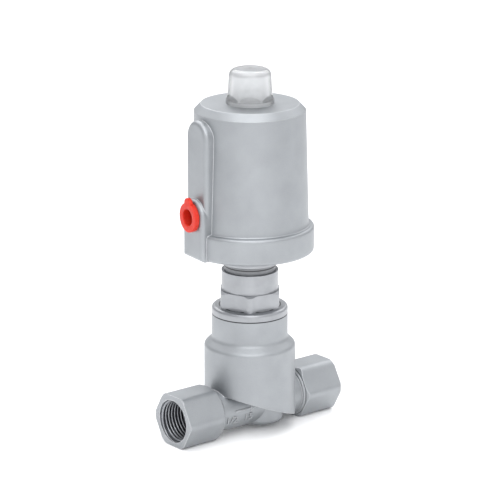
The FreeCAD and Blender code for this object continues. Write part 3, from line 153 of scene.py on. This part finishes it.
# %% [markdown]
# ### Edges and crevices
#
# Two patterns follow the form. Blasting and handling wear sharp edges bright:
# a Bevel node rounds the normal near an edge, so an edge is where that normal
# and the plain one disagree. And shade gathers in a crevice where two round
# pieces meet. Such a crevice is far too narrow to be a form here, so it is
# drawn as a dark ring: the distance from a circle round the stem, in Object
# coordinates, which are the valve's own metres.


# %% Worn edges and dark rings
def edge_share(tree, radius_mm):
    """0 on open faces, towards 1 within radius_mm of a sharp edge."""
    rounded = add(tree, "Bevel", {"samples": 6}, Radius=radius_mm * MM)
    plain = add(tree, "NewGeometry", out="Normal")
    agreement = add(tree, "VectorMath", {"operation": "DOT_PRODUCT"}, out="Value", i0=rounded, i1=plain)
    return add(tree, "MapRange", Value=agreement, From_Min=1.0, From_Max=0.86)


def ring_share(tree, place, height_mm, radius_mm, half_mm):
    """1 on a ring round the stem at this height and radius, 0 beyond half_mm."""
    centre = (STEM_X * MM, 0, height_mm * MM)
    from_centre = add(tree, "VectorMath", {"operation": "SUBTRACT"}, i0=place, i1=centre)
    level = add(tree, "VectorMath", {"operation": "MULTIPLY"}, i0=from_centre, i1=(1, 1, 0))
    radius = add(tree, "VectorMath", {"operation": "LENGTH"}, out="Value", i0=level)
    outwards = add(tree, "Math", {"operation": "SUBTRACT"}, i0=radius, i1=radius_mm * MM)
    upwards = add(tree, "SeparateXYZ", out="Z", Vector=from_centre)
    gap = add(tree, "CombineXYZ", X=outwards, Z=upwards)
    away = add(tree, "VectorMath", {"operation": "LENGTH"}, out="Value", i0=gap)
    return add(tree, "MapRange", Value=away, From_Min=half_mm / 2 * MM, From_Max=half_mm * MM,
               To_Min=1.0, To_Max=0.0)


# Paints dark rings into a colour: most are painted shade where round pieces meet, one is the gate mark
# on the dome.
def draw_dark_rings(tree, place, colour, dark_rings, shade):
    """Darken a colour on each ring, given as height, radius and half width."""
    for height_mm, radius_mm, half_mm in dark_rings:
        ring = ring_share(tree, place, height_mm, radius_mm, half_mm)
        colour = add(tree, "Mix", COLOURS, out=2, i0=ring, i6=colour, i7=linear(shade))
    return colour


# %% [markdown]
# ### Investment-cast stainless steel
#
# The body and the cover are cast in a ceramic shell and then blasted with
# glass beads. The beads leave dimples of about 0.1 mm all over, which spread
# every reflection: the metal looks like grey silk, never like a mirror. At this
# distance one dimple is smaller than a pixel, so the grain is drawn at
# 0.35 mm. Under it lie a slow 6 mm waviness from the wax pattern and patches
# of 14 mm where the tone drifts. Edges are brighter, and a Bevel node rounds
# them as blasting does. A dark ring of painted shade lies in the joint on top
# of the body.

# %% Cast stainless
BODY_TOP_Z = 45.8
BODY_NECK_R = 18.5
JOINT_SHADE_RING = (BODY_TOP_Z, BODY_NECK_R, 0.45)


def cast_stainless():
    material, tree = new_material("investment_cast_stainless")
    place = add(tree, "TexCoord", out="Object")
    grain = add(tree, "TexNoise", Vector=place, Scale=1 / (0.35 * MM), Detail=3.0, Roughness=0.6)
    waves = add(tree, "TexNoise", Vector=place, Scale=1 / (6.0 * MM), Detail=1.0)
    patches = add(tree, "TexNoise", Vector=place, Scale=1 / (14.0 * MM), Detail=2.0)
    drift = add(tree, "MapRange", Value=patches, From_Min=0.3, From_Max=0.7)
    open_face = add(tree, "Mix", COLOURS, out=2, i0=drift, i6=linear("#9DA0A3"), i7=linear("#A5A8AB"))
    pits = add(tree, "MapRange", Value=grain, From_Min=0.62, From_Max=0.8, To_Max=0.35)
    pitted = add(tree, "Mix", COLOURS, out=2, i0=pits, i6=open_face, i7=linear("#939597"))
    worn = add(tree, "Mix", COLOURS, out=2, i0=edge_share(tree, 0.7), i6=pitted, i7=linear("#C6C7C9"))
    # Painted shade: a dark ring in the joint between the body and the bonnet's flange.
    colour = draw_dark_rings(tree, place, worn, [JOINT_SHADE_RING], "#3A3B3D")
    rounded = add(tree, "Bevel", {"samples": 8}, Radius=0.6 * MM)
    slow = add(tree, "Bump", Strength=0.09, Distance=0.08 * MM, Height=waves, Normal=rounded)
    fine = add(tree, "Bump", Strength=0.5, Distance=0.03 * MM, Height=grain, Normal=slow)
    dull = add(tree, "MapRange", Value=grain, From_Min=0.3, From_Max=0.7, To_Min=0.44, To_Max=0.56)
    metal = add(tree, "BsdfPrincipled", Base_Color=colour, Metallic=1.0, Roughness=dull, Normal=fine)
    add(tree, "OutputMaterial", Surface=metal)
    print(material.name, "has", len(tree.nodes), "nodes")
    return material


# %% [markdown]
# ### Turned metals
#
# The bonnet, the stem and the actuator's base are turned from bar. The tool
# leaves rings round the axis, 0.1 mm apart. They are drawn 0.4 mm apart here,
# because finer rings would only flicker. On an upright wall a ring is a band
# at one height, so a wave along Z draws them: the Wave texture repeats every
# pi / 10 of a unit, which gives its scale. Bronze is the same recipe in a warm
# yellow, aluminium in a lighter grey, and drawn spring wire in a darker one.


# %% Turned metals
def turned_metal(name, light, dark, rough_low, rough_high, ring_mm, dark_rings=()):
    """Faint rings along the stem, a little staining, and dark rings of painted shade."""
    material, tree = new_material(name)
    place = add(tree, "TexCoord", out="Object")
    rings = add(tree, "TexWave", {"wave_type": "BANDS", "bands_direction": "Z"}, out=1, Vector=place,
                Scale=math.pi / (10 * ring_mm * MM), Distortion=0.6, Detail=2.0, Detail_Scale=3.0)
    grain = add(tree, "TexNoise", Vector=place, Scale=1 / (0.5 * MM), Detail=3.0)
    patches = add(tree, "TexNoise", Vector=place, Scale=1 / (8.0 * MM), Detail=2.0)
    stain = add(tree, "MapRange", Value=patches, From_Min=0.3, From_Max=0.7)
    clean = add(tree, "Mix", COLOURS, out=2, i0=stain, i6=linear(dark), i7=linear(light))
    # Painted shade: dark rings where round pieces meet and the crevice lies in shade.
    colour = draw_dark_rings(tree, place, clean, dark_rings, "#4A4B4D")
    rounded = add(tree, "Bevel", {"samples": 8}, Radius=0.35 * MM)
    lines = add(tree, "Bump", Strength=0.3, Distance=0.012 * MM, Height=rings, Normal=rounded)
    dull = add(tree, "MapRange", Value=grain, From_Min=0.3, From_Max=0.7, To_Min=rough_low,
               To_Max=rough_high)
    metal = add(tree, "BsdfPrincipled", Base_Color=colour, Metallic=1.0, Roughness=dull, Normal=lines)
    add(tree, "OutputMaterial", Surface=metal)
    print(material.name, "has rings", ring_mm, "mm apart")
    return material


# %% [markdown]
# ### Plastics and rubber
#
# PTFE is waxy and white, polyamide is grey and a little dull, and nitrile
# rubber is black with no shine. The plug is moulded polyethylene: light sinks
# in by two millimetres before it comes back, so its thin rim glows. Each has
# the fine texture of its mould, about 0.1 mm on the real piece, which is drawn
# 0.25 to 0.6 mm wide so that it shows.


# %% Plastics and rubber
def moulded(name, light, dark, roughness, grain_mm, depth_mm, subsurface=0.0, sink_mm=1.0, dark_rings=()):
    """A moulded plastic or rubber with a fine mould texture."""
    material, tree = new_material(name)
    place = add(tree, "TexCoord", out="Object")
    grain = add(tree, "TexNoise", Vector=place, Scale=1 / (grain_mm * MM), Detail=3.0)
    clouds = add(tree, "TexNoise", Vector=place, Scale=1 / (5.0 * MM), Detail=2.0)
    drift = add(tree, "MapRange", Value=clouds, From_Min=0.3, From_Max=0.7)
    clean = add(tree, "Mix", COLOURS, out=2, i0=drift, i6=linear(dark), i7=linear(light))
    # Painted shade: dark rings where the piece meets its neighbours and lies in shade.
    colour = draw_dark_rings(tree, place, clean, dark_rings, "#3C3D3F")
    rounded = add(tree, "Bevel", {"samples": 8}, Radius=0.3 * MM)
    skin = add(tree, "Bump", Strength=0.4, Distance=depth_mm * MM, Height=grain, Normal=rounded)
    dull = add(tree, "MapRange", Value=grain, From_Min=0.3, From_Max=0.7, To_Min=roughness - 0.06,
               To_Max=roughness + 0.06)
    plastic = add(tree, "BsdfPrincipled", Base_Color=colour, Roughness=dull, IOR=1.5, Normal=skin,
                  Subsurface_Weight=subsurface, Subsurface_Scale=sink_mm * MM)
    add(tree, "OutputMaterial", Surface=plastic)
    print(material.name, "has a mould texture of", grain_mm, "mm")
    return material


# %% [markdown]
# ### Clear polycarbonate
#
# The dome is clear, because the rod inside shows by its height whether the
# valve is open, but its wall is slightly milky. Two thirds of the light goes
# through and the rest shows the plastic's own pale grey. Where the wall is seen
# edge on there is more plastic to cross, and a painted shade from Layer Weight
# makes it darker there. A small grey dot on top is the mark of the mould's gate.

# %% Clear plastic
DOME_TOP_Z = 166.5
GATE_R = 1.1


def clear_polycarbonate():
    material, tree = new_material("clear_polycarbonate")
    place = add(tree, "TexCoord", out="Object")
    clouds = add(tree, "TexNoise", Vector=place, Scale=1 / (3.0 * MM), Detail=2.0)
    drift = add(tree, "MapRange", Value=clouds, From_Min=0.3, From_Max=0.7)
    milk = add(tree, "Mix", COLOURS, out=2, i0=drift, i6=linear("#EBEDEE"), i7=linear("#F1F2F3"))
    gated = draw_dark_rings(tree, place, milk, [(DOME_TOP_Z, 0.0, GATE_R)], "#8F9194")
    # Painted shade: the wall is painted darker grey where it is seen edge on.
    facing = add(tree, "LayerWeight", out="Facing", Blend=0.5)
    edge_on_shade = add(tree, "MapRange", Value=facing, From_Min=0.4, From_Max=0.9, To_Max=0.9)
    colour = add(tree, "Mix", COLOURS, out=2, i0=edge_on_shade, i6=gated, i7=linear("#808284"))
    ripple = add(tree, "Bump", Strength=0.15, Distance=0.05 * MM, Height=clouds)
    dull = add(tree, "MapRange", Value=clouds, From_Min=0.3, From_Max=0.7, To_Min=0.08, To_Max=0.16)
    plastic = add(tree, "BsdfPrincipled", Base_Color=colour, Roughness=dull, IOR=1.585,
                  Transmission_Weight=0.65, Normal=ripple)
    add(tree, "OutputMaterial", Surface=plastic)
    print(material.name, "lets 0.65 of the light through")
    return material


# %% [markdown]
# ### Giving the materials to the pieces
#
# The imported record says which finish each piece has. One table turns the
# record's names into the materials above. The rings of painted shade are given
# as height, radius and half width: two lie at the feet of the bonnet's flange
# and of its hexagon, and one runs round the swivel washer, 1 mm under its top.
# The threads are the casting's own metal, but freshly cut, so they are a little
# darker and shinier.

# %% Dress the CAD pieces
BONNET_TOP_Z = 49.8
HEXAGON_RIM_R = 14.8
WASHER_TOP = [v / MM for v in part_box("swivel_washer")[1]]
# Painted shade: a dark ring round the swivel washer, 1 mm under its top.
WASHER_RIM_SHADE = (WASHER_TOP[2] - 1.0, WASHER_TOP[1], 0.45)
# Painted shade: dark rings at the feet of the bonnet's flange and of its hexagon.
BONNET_FEET_SHADE = ((BODY_TOP_Z, BODY_NECK_R, 0.3), (BONNET_TOP_Z, HEXAGON_RIM_R, 0.4))
FINISHES = {
    "cast_stainless": cast_stainless(),
    "turned_stainless": turned_metal("turned_stainless", "#A6A8AB", "#9A9C9F", 0.34, 0.46, 0.4,
                                     BONNET_FEET_SHADE),
    "thread": turned_metal("tapped_stainless", "#A0A2A6", "#8F9195", 0.32, 0.46, 0.2),
    "ptfe": moulded("skived_ptfe", "#E8E8E4", "#DCDCD6", 0.45, 0.4, 0.02, 0.2, 0.8),
    "bearing_bronze": turned_metal("turned_bronze", "#B98D4F", "#9A7138", 0.30, 0.42, 0.3),
    "nylon": moulded("moulded_polyamide", "#929497", "#86888B", 0.5, 0.3, 0.03, dark_rings=[WASHER_RIM_SHADE]),
    "nitrile": moulded("nitrile_rubber", "#232323", "#181818", 0.62, 0.25, 0.04),
    "spring_steel": turned_metal("drawn_spring_steel", "#A9ABB0", "#8E9196", 0.30, 0.45, 0.6),
    "aluminium": turned_metal("turned_aluminium", "#D2D3D6", "#C2C4C8", 0.30, 0.42, 0.5),
    "clear_plastic": clear_polycarbonate(),
    "red_plastic": moulded("moulded_polyethylene", "#D0290C", "#C21F09", 0.52, 0.6, 0.03, 0.5, 2.0),
}
for row in frame["record"]["subparts"]:
    slots = NODES[row["node"]].data.materials
    slots.clear()
    slots.append(FINISHES[row["material_slot"]])
print("finishes given:", sorted(FINISHES))

# %% [markdown]
# ## The camera
#
# The picture is taken with a long lens from far away, which keeps upright
# edges parallel. The camera looks along a fixed direction, a little from above,
# with the inlet towards it. The Standard view shows hex colours as they are.

# %% Camera
CAMERA_AT = Vector((-0.7122, -0.9339, 0.4283))
TOWARDS_CAMERA = Vector((-0.6035, -0.7479, 0.2765))
LENS_MM = 195
SENSOR_MM = 36
SEES_TO = 20
lens = bpy.data.cameras.new("camera")
lens.lens = LENS_MM
lens.sensor_width = SENSOR_MM
lens.clip_end = SEES_TO
camera = bpy.data.objects.new("camera", lens)
bpy.context.scene.collection.objects.link(camera)
camera.location = CAMERA_AT
camera.rotation_euler = (-TOWARDS_CAMERA).to_track_quat("-Z", "Y").to_euler()
bpy.context.scene.camera = camera
bpy.context.scene.view_settings.view_transform = "Standard"
print("camera", round((CAMERA_AT - Vector((STEM_X * MM, 0, 0))).length, 2), "m from the stem's foot")

# %% [markdown]
# ## The light
#
# Metal shows nothing but its surroundings, so the light is what gives the
# casting its tone. A pale world lights all sides evenly, as a light tent does.
# The key light hangs high in front and makes the bevel on the cover shine. A
# weaker one beside the camera opens the shade in the port, and one on the
# right keeps the far side from going dark. Two from behind brighten the tops
# and the right-hand part of the bevel.


# %% Lights
def softbox(name, spot, aim, size, watts):
    """A square area light at spot that looks at aim, all in metres."""
    lamp = bpy.data.lights.new(name, "AREA")
    lamp.shape = "SQUARE"
    lamp.size = size
    lamp.energy = watts
    holder = bpy.data.objects.new(name, lamp)
    bpy.context.scene.collection.objects.link(holder)
    holder.location = spot
    holder.rotation_euler = (Vector(aim) - Vector(spot)).to_track_quat("-Z", "Y").to_euler()
    print(name, watts, "W")


MIDDLE = (STEM_X * MM, 0, 70 * MM)
softbox("high_front", (-0.3, -0.42, 1.2), MIDDLE, 1.35, 12)
softbox("beside_camera", (-0.75, -1.25, 0.75), MIDDLE, 1.0, 4.5)
softbox("right_front", (1.0, -1.0, 0.85), MIDDLE, 0.8, 1.6)
softbox("right_behind", (1.05, 0.25, 1.0), MIDDLE, 0.9, 4.5)
softbox("behind_above", (0.2, 0.85, 1.05), MIDDLE, 1.0, 7)

# %% The light tent
world = bpy.data.worlds.new("light_tent")
world.use_nodes = True
tent = world.node_tree
tent.nodes.clear()
glow = add(tent, "Background", Color=linear("#FBFCFF"), Strength=0.8)
add(tent, "OutputWorld", Surface=glow)
bpy.context.scene.world = world
print("world:", world.name)

# %% [markdown]
# ## The floor
#
# The valve stands on a wide sheet of white paper. It is almost without gloss,
# and glows very slightly, so that it stays pure white round the soft shadow.

# %% A sheet of white paper
SHEET_SIZE = 8
bpy.ops.object.select_all(action="DESELECT")
bpy.ops.mesh.primitive_plane_add(size=SHEET_SIZE, location=(STEM_X * MM, 0, FLOOR_Z * MM))
floor = bpy.context.object
floor.name = "floor"
paper, tree = new_material("white_paper")
place = add(tree, "TexCoord", out="Object")
fibres = add(tree, "TexNoise", Vector=place, Scale=1 / (2.0 * MM), Detail=2.0)
drift = add(tree, "MapRange", Value=fibres, From_Min=0.3, From_Max=0.7)
white = add(tree, "Mix", COLOURS, out=2, i0=drift, i6=linear("#FAFAFA"), i7=linear("#FCFCFC"))
sheet = add(tree, "BsdfPrincipled", Base_Color=white, Roughness=0.9, Specular_IOR_Level=0.1,
            Emission_Color=linear("#FFFFFF"), Emission_Strength=0.03)
add(tree, "OutputMaterial", Surface=sheet)
floor.data.materials.append(paper)
print("paper", SHEET_SIZE, "m wide")

# %% [markdown]
# ## The pipe threads
#
# The ports carry a G 1/2 pipe thread: 14 turns to the inch, 20.96 mm across
# its roots and 18.63 mm across its crests, with flanks that stand 55 degrees
# apart. CAD gives the bore at root size. A thread is one ridge that winds along
# the bore, so it takes one section and a Screw modifier. The section is a plane
# whose inner edge is narrowed to the crest. One sweep makes the whole ridge,
# with its foot sunk a little into the wall so that no gap shows under it. It
# runs from 0.15 mm inside the mouth to 0.35 mm before the end of the 16 mm
# that are tapped.


# %% Helpers for modelling
def start_fresh():
    """Leave edit mode, with nothing selected."""
    if bpy.context.object and bpy.context.object.mode != "OBJECT":
        bpy.ops.object.mode_set(mode="OBJECT")
    bpy.ops.object.select_all(action="DESELECT")


def select_only(piece):
    """Select this piece alone, and make it the active one."""
    start_fresh()
    piece.select_set(True)
    bpy.context.view_layer.objects.active = piece


def apply_place(piece):
    """Put the piece's place into its mesh, and its object on the origin."""
    select_only(piece)
    bpy.ops.object.transform_apply(location=True, rotation=True, scale=True)


def modify(piece, name, kind, **settings):
    """Add a modifier, set it, and apply it."""
    select_only(piece)
    modifier = piece.modifiers.new(name, kind)
    for key, value in settings.items():
        setattr(modifier, key, value)
    bpy.ops.object.modifier_apply(modifier=name)


def pick(piece, kind, wanted):
    """Select the vertices, edges or faces of the piece that pass the test."""
    bpy.ops.object.mode_set(mode="OBJECT")
    mesh = piece.data
    for group in (mesh.vertices, mesh.edges, mesh.polygons):
        group.foreach_set("select", [False] * len(group))
    chosen = {"VERT": mesh.vertices, "EDGE": mesh.edges, "FACE": mesh.polygons}[kind]
    for item in chosen:
        item.select = bool(wanted(item))
    bpy.ops.object.mode_set(mode="EDIT")
    bpy.ops.mesh.select_mode(type=kind)


# %% One ridge, wound along the bore
THREAD_ROOT_R = 10.48
THREAD_CREST_R = 9.32
THREAD_PITCH = 25.4 / 14
THREAD_FOOT = 0.94 * THREAD_PITCH
THREAD_SUNK = 0.02
THREAD_START = 0.15
THREAD_END = 15.65
THREAD_TURN_DEG = 180.0
FLANK_DEG = 27.5
STEPS_PER_TURN = 56
SECTION_CORNERS = 4


def wind_thread(name):
    """The ridge of the inlet's thread, along X from just inside the mouth."""
    depth = THREAD_ROOT_R - THREAD_CREST_R
    crest = THREAD_FOOT - 2 * depth * math.tan(math.radians(FLANK_DEG))
    middle_r = (THREAD_ROOT_R + THREAD_CREST_R) / 2 + THREAD_SUNK
    middle = Vector((THREAD_START + THREAD_FOOT / 2, 0, middle_r)) * MM
    turns = (THREAD_END - THREAD_START - THREAD_FOOT) / THREAD_PITCH
    steps = round(turns * STEPS_PER_TURN)
    start_fresh()
    bpy.ops.mesh.primitive_plane_add(size=1, location=middle, rotation=(math.pi / 2, 0, 0))
    ridge = bpy.context.object
    ridge.name = name
    ridge.scale = (THREAD_FOOT * MM, depth * MM, 1)
    apply_place(ridge)
    pick(ridge, "VERT", lambda v: v.co.z < middle.z)
    bpy.ops.transform.resize(value=(crest / THREAD_FOOT, 1, 1), center_override=middle)
    bpy.ops.mesh.select_all(action="SELECT")
    bpy.ops.mesh.delete(type="ONLY_FACE")
    modify(ridge, "wind", "SCREW", axis="X", angle=2 * math.pi * turns, iterations=1,
           screw_offset=THREAD_PITCH * turns * MM, steps=steps, render_steps=steps,
           use_merge_vertices=False)
    ridge.rotation_euler = (math.radians(THREAD_TURN_DEG), 0, 0)
    apply_place(ridge)
    return ridge, steps


inlet_thread, thread_steps = wind_thread("inlet_thread")
print("thread:", thread_steps, "steps,", len(inlet_thread.data.vertices), "vertices")

# %% [markdown]
# A tap enters and leaves the bore little by little, so the ridge doesn't begin
# at full height. The sweep left the vertices in order, four to a section. So
# the crest of each of the first and last sections is found by its number, and
# scaled out towards the bore's wall, more at the ends, where 0.4 of one step's
# height is left so that the end isn't folded flat. Then both ends are closed.

# %% Run the ridge out at both ends
RUN_OUT_STEPS = 14
END_HEIGHT_STEPS = 0.4
BETWEEN_R = THREAD_CREST_R + THREAD_SUNK + 0.2
crest_r, root_r = THREAD_CREST_R + THREAD_SUNK, THREAD_ROOT_R + THREAD_SUNK
for k in range(RUN_OUT_STEPS):
    height_share = (k + END_HEIGHT_STEPS) / RUN_OUT_STEPS
    widen = (root_r - (root_r - crest_r) * height_share) / crest_r
    for section in (k, thread_steps - k):
        pick(inlet_thread, "VERT", lambda v: v.index // SECTION_CORNERS == section
             and math.hypot(v.co.y, v.co.z) < BETWEEN_R * MM)
        bpy.ops.transform.resize(value=(1, widen, widen), center_override=(0, 0, 0))
bpy.ops.mesh.select_all(action="SELECT")
bpy.ops.mesh.fill_holes(sides=SECTION_CORNERS)
bpy.ops.mesh.normals_make_consistent(inside=False)
bpy.ops.object.mode_set(mode="OBJECT")
along = [v.co.x / MM for v in inlet_thread.data.vertices]
print("thread runs from x", round(min(along), 2), "to", round(max(along), 2), "mm")

# %% [markdown]
# Each new piece is handed over in the same way: it gets its material, picked
# by the name that the record has for its finish, and the body that it moves
# with. The thread is cut into the casting.


# %% Hand a finished piece over
def hand_over(piece, body, finish):
    """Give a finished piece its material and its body."""
    start_fresh()
    piece.data.materials.clear()
    piece.data.materials.append(FINISHES[finish])
    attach(piece, body)
    print(piece.name, len(piece.data.polygons), "faces")


# %% The same thread, turned round for the outlet
PORT_TO_PORT = 95.0
select_only(inlet_thread)
bpy.ops.object.duplicate()
outlet_thread = bpy.context.object
outlet_thread.name = "outlet_thread"
outlet_thread.rotation_euler = (0, 0, math.pi)
outlet_thread.location = (PORT_TO_PORT * MM, 0, 0)
apply_place(outlet_thread)
for ridge in (inlet_thread, outlet_thread):
    hand_over(ridge, "valve", "thread")

# %% [markdown]
# ## Marks on the casting
#
# The wax pattern carries an arrow for the flow and the size of the port, which
# come out 0.4 mm proud of the neck. Each mark is drawn flat, beside the neck
# and facing away from it. Its faces are cut small enough to bend, a Shrinkwrap
# modifier lays it on the curved metal, it sinks in by 0.1 mm so that no edge
# floats, and a Solidify modifier gives it its height.

# %% Lay a flat mark on the neck
MARK_HEIGHT = 0.4
MARK_SUNK = 0.1
MARK_CUTS = 3
BESIDE_Y = -32.0
SAME_PLACE = 0.001


def merge_doubles(piece):
    """Merge the piece's vertices that share a place."""
    select_only(piece)
    bpy.ops.object.mode_set(mode="EDIT")
    bpy.ops.mesh.select_all(action="SELECT")
    bpy.ops.mesh.remove_doubles(threshold=SAME_PLACE * MM)
    bpy.ops.object.mode_set(mode="OBJECT")


def lay_on_neck(mark):
    """Project a flat mark that faces -Y onto the casting, and thicken it."""
    apply_place(mark)
    merge_doubles(mark)
    bpy.ops.object.mode_set(mode="EDIT")
    bpy.ops.mesh.quads_convert_to_tris()
    bpy.ops.mesh.subdivide(number_cuts=MARK_CUTS)
    bpy.ops.object.mode_set(mode="OBJECT")
    modify(mark, "lay", "SHRINKWRAP", target=NODES["valve_body"], wrap_method="PROJECT",
           use_project_x=False, use_project_y=True, use_project_z=False,
           use_positive_direction=True, use_negative_direction=False)
    bpy.ops.object.mode_set(mode="EDIT")
    bpy.ops.mesh.select_all(action="SELECT")
    bpy.ops.transform.translate(value=(0, MARK_SUNK * MM, 0))
    modify(mark, "raise", "SOLIDIFY", thickness=(MARK_HEIGHT + MARK_SUNK) * MM, offset=1.0)
    hand_over(mark, "valve", "cast_stainless")
    depths = [v.co.y / MM for v in mark.data.vertices]
    print(mark.name, "lies between y", round(min(depths), 2), "and", round(max(depths), 2), "mm")


# %% [markdown]
# The arrow is a long plane for the shaft and a circle of three vertices, which
# is a triangle, for the head. A triangle inside a circle of radius 1 is 1.5
# long and the square root of 3 wide, and its middle lies a third of its length
# from its base, which gives the scale and the place.

# %% The flow arrow
ARROW = {"tail_x": 30.3, "neck_x": 39.2, "tip_x": 42.7, "z": 1.2, "shaft": 0.75, "head": 2.6}
shaft_long = ARROW["neck_x"] - ARROW["tail_x"]
head_long = ARROW["tip_x"] - ARROW["neck_x"]
shaft_at = Vector((ARROW["tail_x"] + shaft_long / 2, BESIDE_Y, ARROW["z"])) * MM
head_at = Vector((ARROW["neck_x"] + head_long / 3, BESIDE_Y, ARROW["z"])) * MM
start_fresh()
bpy.ops.mesh.primitive_plane_add(size=1, rotation=(math.pi / 2, 0, 0), location=shaft_at)
arrow = bpy.context.object
arrow.name = "flow_arrow"
arrow.scale = (shaft_long * MM, ARROW["shaft"] * MM, 1)
apply_place(arrow)
bpy.ops.mesh.primitive_circle_add(vertices=3, radius=1, fill_type="NGON", location=head_at,
                                  rotation=(math.pi / 2, math.pi / 2, 0))
head = bpy.context.object
head.scale = (ARROW["head"] / math.sqrt(3) * MM, head_long / 1.5 * MM, 1)
apply_place(head)
arrow.select_set(True)
bpy.context.view_layer.objects.active = arrow
bpy.ops.object.join()
lay_on_neck(arrow)

# %% [markdown]
# The figures give the size of the pipe thread, 1/2 inch, and of the bore,
# 15 mm. A text object becomes a mesh, is centred on its own box, and is scaled
# to the length and height of the marks on the neck.

# %% The port's size in raised figures
SIZE_MARK = {"text": "1/2  15", "left_x": 25.6, "right_x": 40.4, "z": -2.9, "tall": 3.4}
FIRST_CORNER, LAST_CORNER = 0, 6
start_fresh()
bpy.ops.object.text_add(radius=1.0, location=(0, 0, 0))
figures = bpy.context.object
figures.name = "size_figures"
figures.data.body = SIZE_MARK["text"]
figures.data.resolution_u = 4
bpy.ops.object.convert(target="MESH")
low, high = (Vector(figures.bound_box[i]) for i in (FIRST_CORNER, LAST_CORNER))
bpy.ops.object.mode_set(mode="EDIT")
bpy.ops.mesh.select_all(action="SELECT")
bpy.ops.transform.translate(value=-(low + high) / 2)
bpy.ops.object.mode_set(mode="OBJECT")
figures.scale = ((SIZE_MARK["right_x"] - SIZE_MARK["left_x"]) / (high.x - low.x) * MM,
                 SIZE_MARK["tall"] / (high.y - low.y) * MM, 1)
figures.rotation_euler = (math.pi / 2, 0, 0)
middle_x = (SIZE_MARK["left_x"] + SIZE_MARK["right_x"]) / 2
figures.location = Vector((middle_x, BESIDE_Y, SIZE_MARK["z"])) * MM
lay_on_neck(figures)

# %% [markdown]
# ## The transit plug
#
# Every new valve leaves the factory with a soft plug in its air port, which is
# pulled out by its tab when the air line is fitted. It is injection moulded in
# polyethylene, so all of its rims are rounded: a sharp rim would tear on the
# way out of the mould. Here a flange, a round tab and a shank are cylinders
# joined by booleans, the hollow is cut last, and two bevels round the rims.
# Booleans leave a few doubled vertices, so these are merged at the end. The
# piece takes the place of the plug from CAD, on the same axis. Its sizes are
# measured outwards from the stem, and the air port looks 173.5 degrees round
# from the flow's direction.

# %% Sizes of the plug
PLUG_TURN_DEG = 173.5
PLUG = {"z": 98.3, "tip": 27.1, "floor": 28.3, "flange_back": 32.75, "face": 35.2,
        "flange_r": 7.1, "shank_r": 4.8, "hollow_r": 4.1, "tab_r": 2.8, "tab_t": 1.5, "tab_up": 6.8}
TAB_FACE = PLUG["face"] - 0.02
TAB_BACK = PLUG["face"] - PLUG["tab_t"]
SHANK_END = PLUG["flange_back"] + 0.6
CUT_END = PLUG["face"] + 1.0
OUTER_RIM, INNER_RIM = (0.5, 50), (0.3, 60)
SMOOTH_DEG = 35
SIDES = 96
print("plug", round(PLUG["face"] - PLUG["tip"], 2), "mm long,", 2 * PLUG["flange_r"], "mm across")


# %% Cylinders along the port's axis
def along_port(name, start, end, radius, up=0.0):
    """A cylinder on the port's axis, from start to end mm from the stem."""
    start_fresh()
    bpy.ops.mesh.primitive_cylinder_add(vertices=SIDES, radius=radius * MM, depth=(end - start) * MM,
                                        rotation=(0, math.pi / 2, 0),
                                        location=((start + end) / 2 * MM, 0, (PLUG["z"] + up) * MM))
    made = bpy.context.object
    made.name = name
    apply_place(made)
    return made


def combine(piece, tool, operation):
    """Join a tool to the piece or cut it away, and drop the tool."""
    modify(piece, "combine", "BOOLEAN", object=tool, operation=operation, solver="EXACT")
    bpy.data.objects.remove(tool)


def round_rims(piece, width_mm, over_deg):
    """Bevel each edge that is sharper than over_deg."""
    modify(piece, "rims", "BEVEL", width=width_mm * MM, segments=4, limit_method="ANGLE",
           angle_limit=math.radians(over_deg))


# %% Flange, tab, shank and hollow
plug = along_port("transit_plug", PLUG["flange_back"], PLUG["face"], PLUG["flange_r"])
combine(plug, along_port("tab", TAB_BACK, TAB_FACE, PLUG["tab_r"], PLUG["tab_up"]), "UNION")
round_rims(plug, *OUTER_RIM)
combine(plug, along_port("shank", PLUG["tip"], SHANK_END, PLUG["shank_r"]), "UNION")
combine(plug, along_port("hollow", PLUG["floor"], CUT_END, PLUG["hollow_r"]), "DIFFERENCE")
round_rims(plug, *INNER_RIM)
plug.rotation_euler = (0, 0, math.radians(PLUG_TURN_DEG))
plug.location = (STEM_X * MM, 0, 0)
apply_place(plug)
merge_doubles(plug)
bpy.ops.object.shade_smooth_by_angle(angle=math.radians(SMOOTH_DEG))
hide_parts("port_plug")
hand_over(plug, "plug", "red_plastic")

# %% [markdown]
# ## The springs
#
# Two coil springs hold the valve shut. Air under the piston lifts it by 8 mm,
# and both springs shorten by as much, while their upper ends stay on the plate
# under the cover. Here each spring from CAD is copied into a piece of its own,
# and its doubled vertices are merged.

# %% Copy both springs
for node, name in (("outer_spring", "outer_coil"), ("inner_spring", "inner_coil")):
    select_only(NODES[node])
    bpy.ops.object.duplicate()
    coil = bpy.context.object
    coil.name = name
    bpy.ops.object.parent_clear(type="CLEAR_KEEP_TRANSFORM")
    apply_place(coil)
    merge_doubles(coil)
    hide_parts(node)
    hand_over(coil, "actuator", "spring_steel")
    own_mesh(coil)
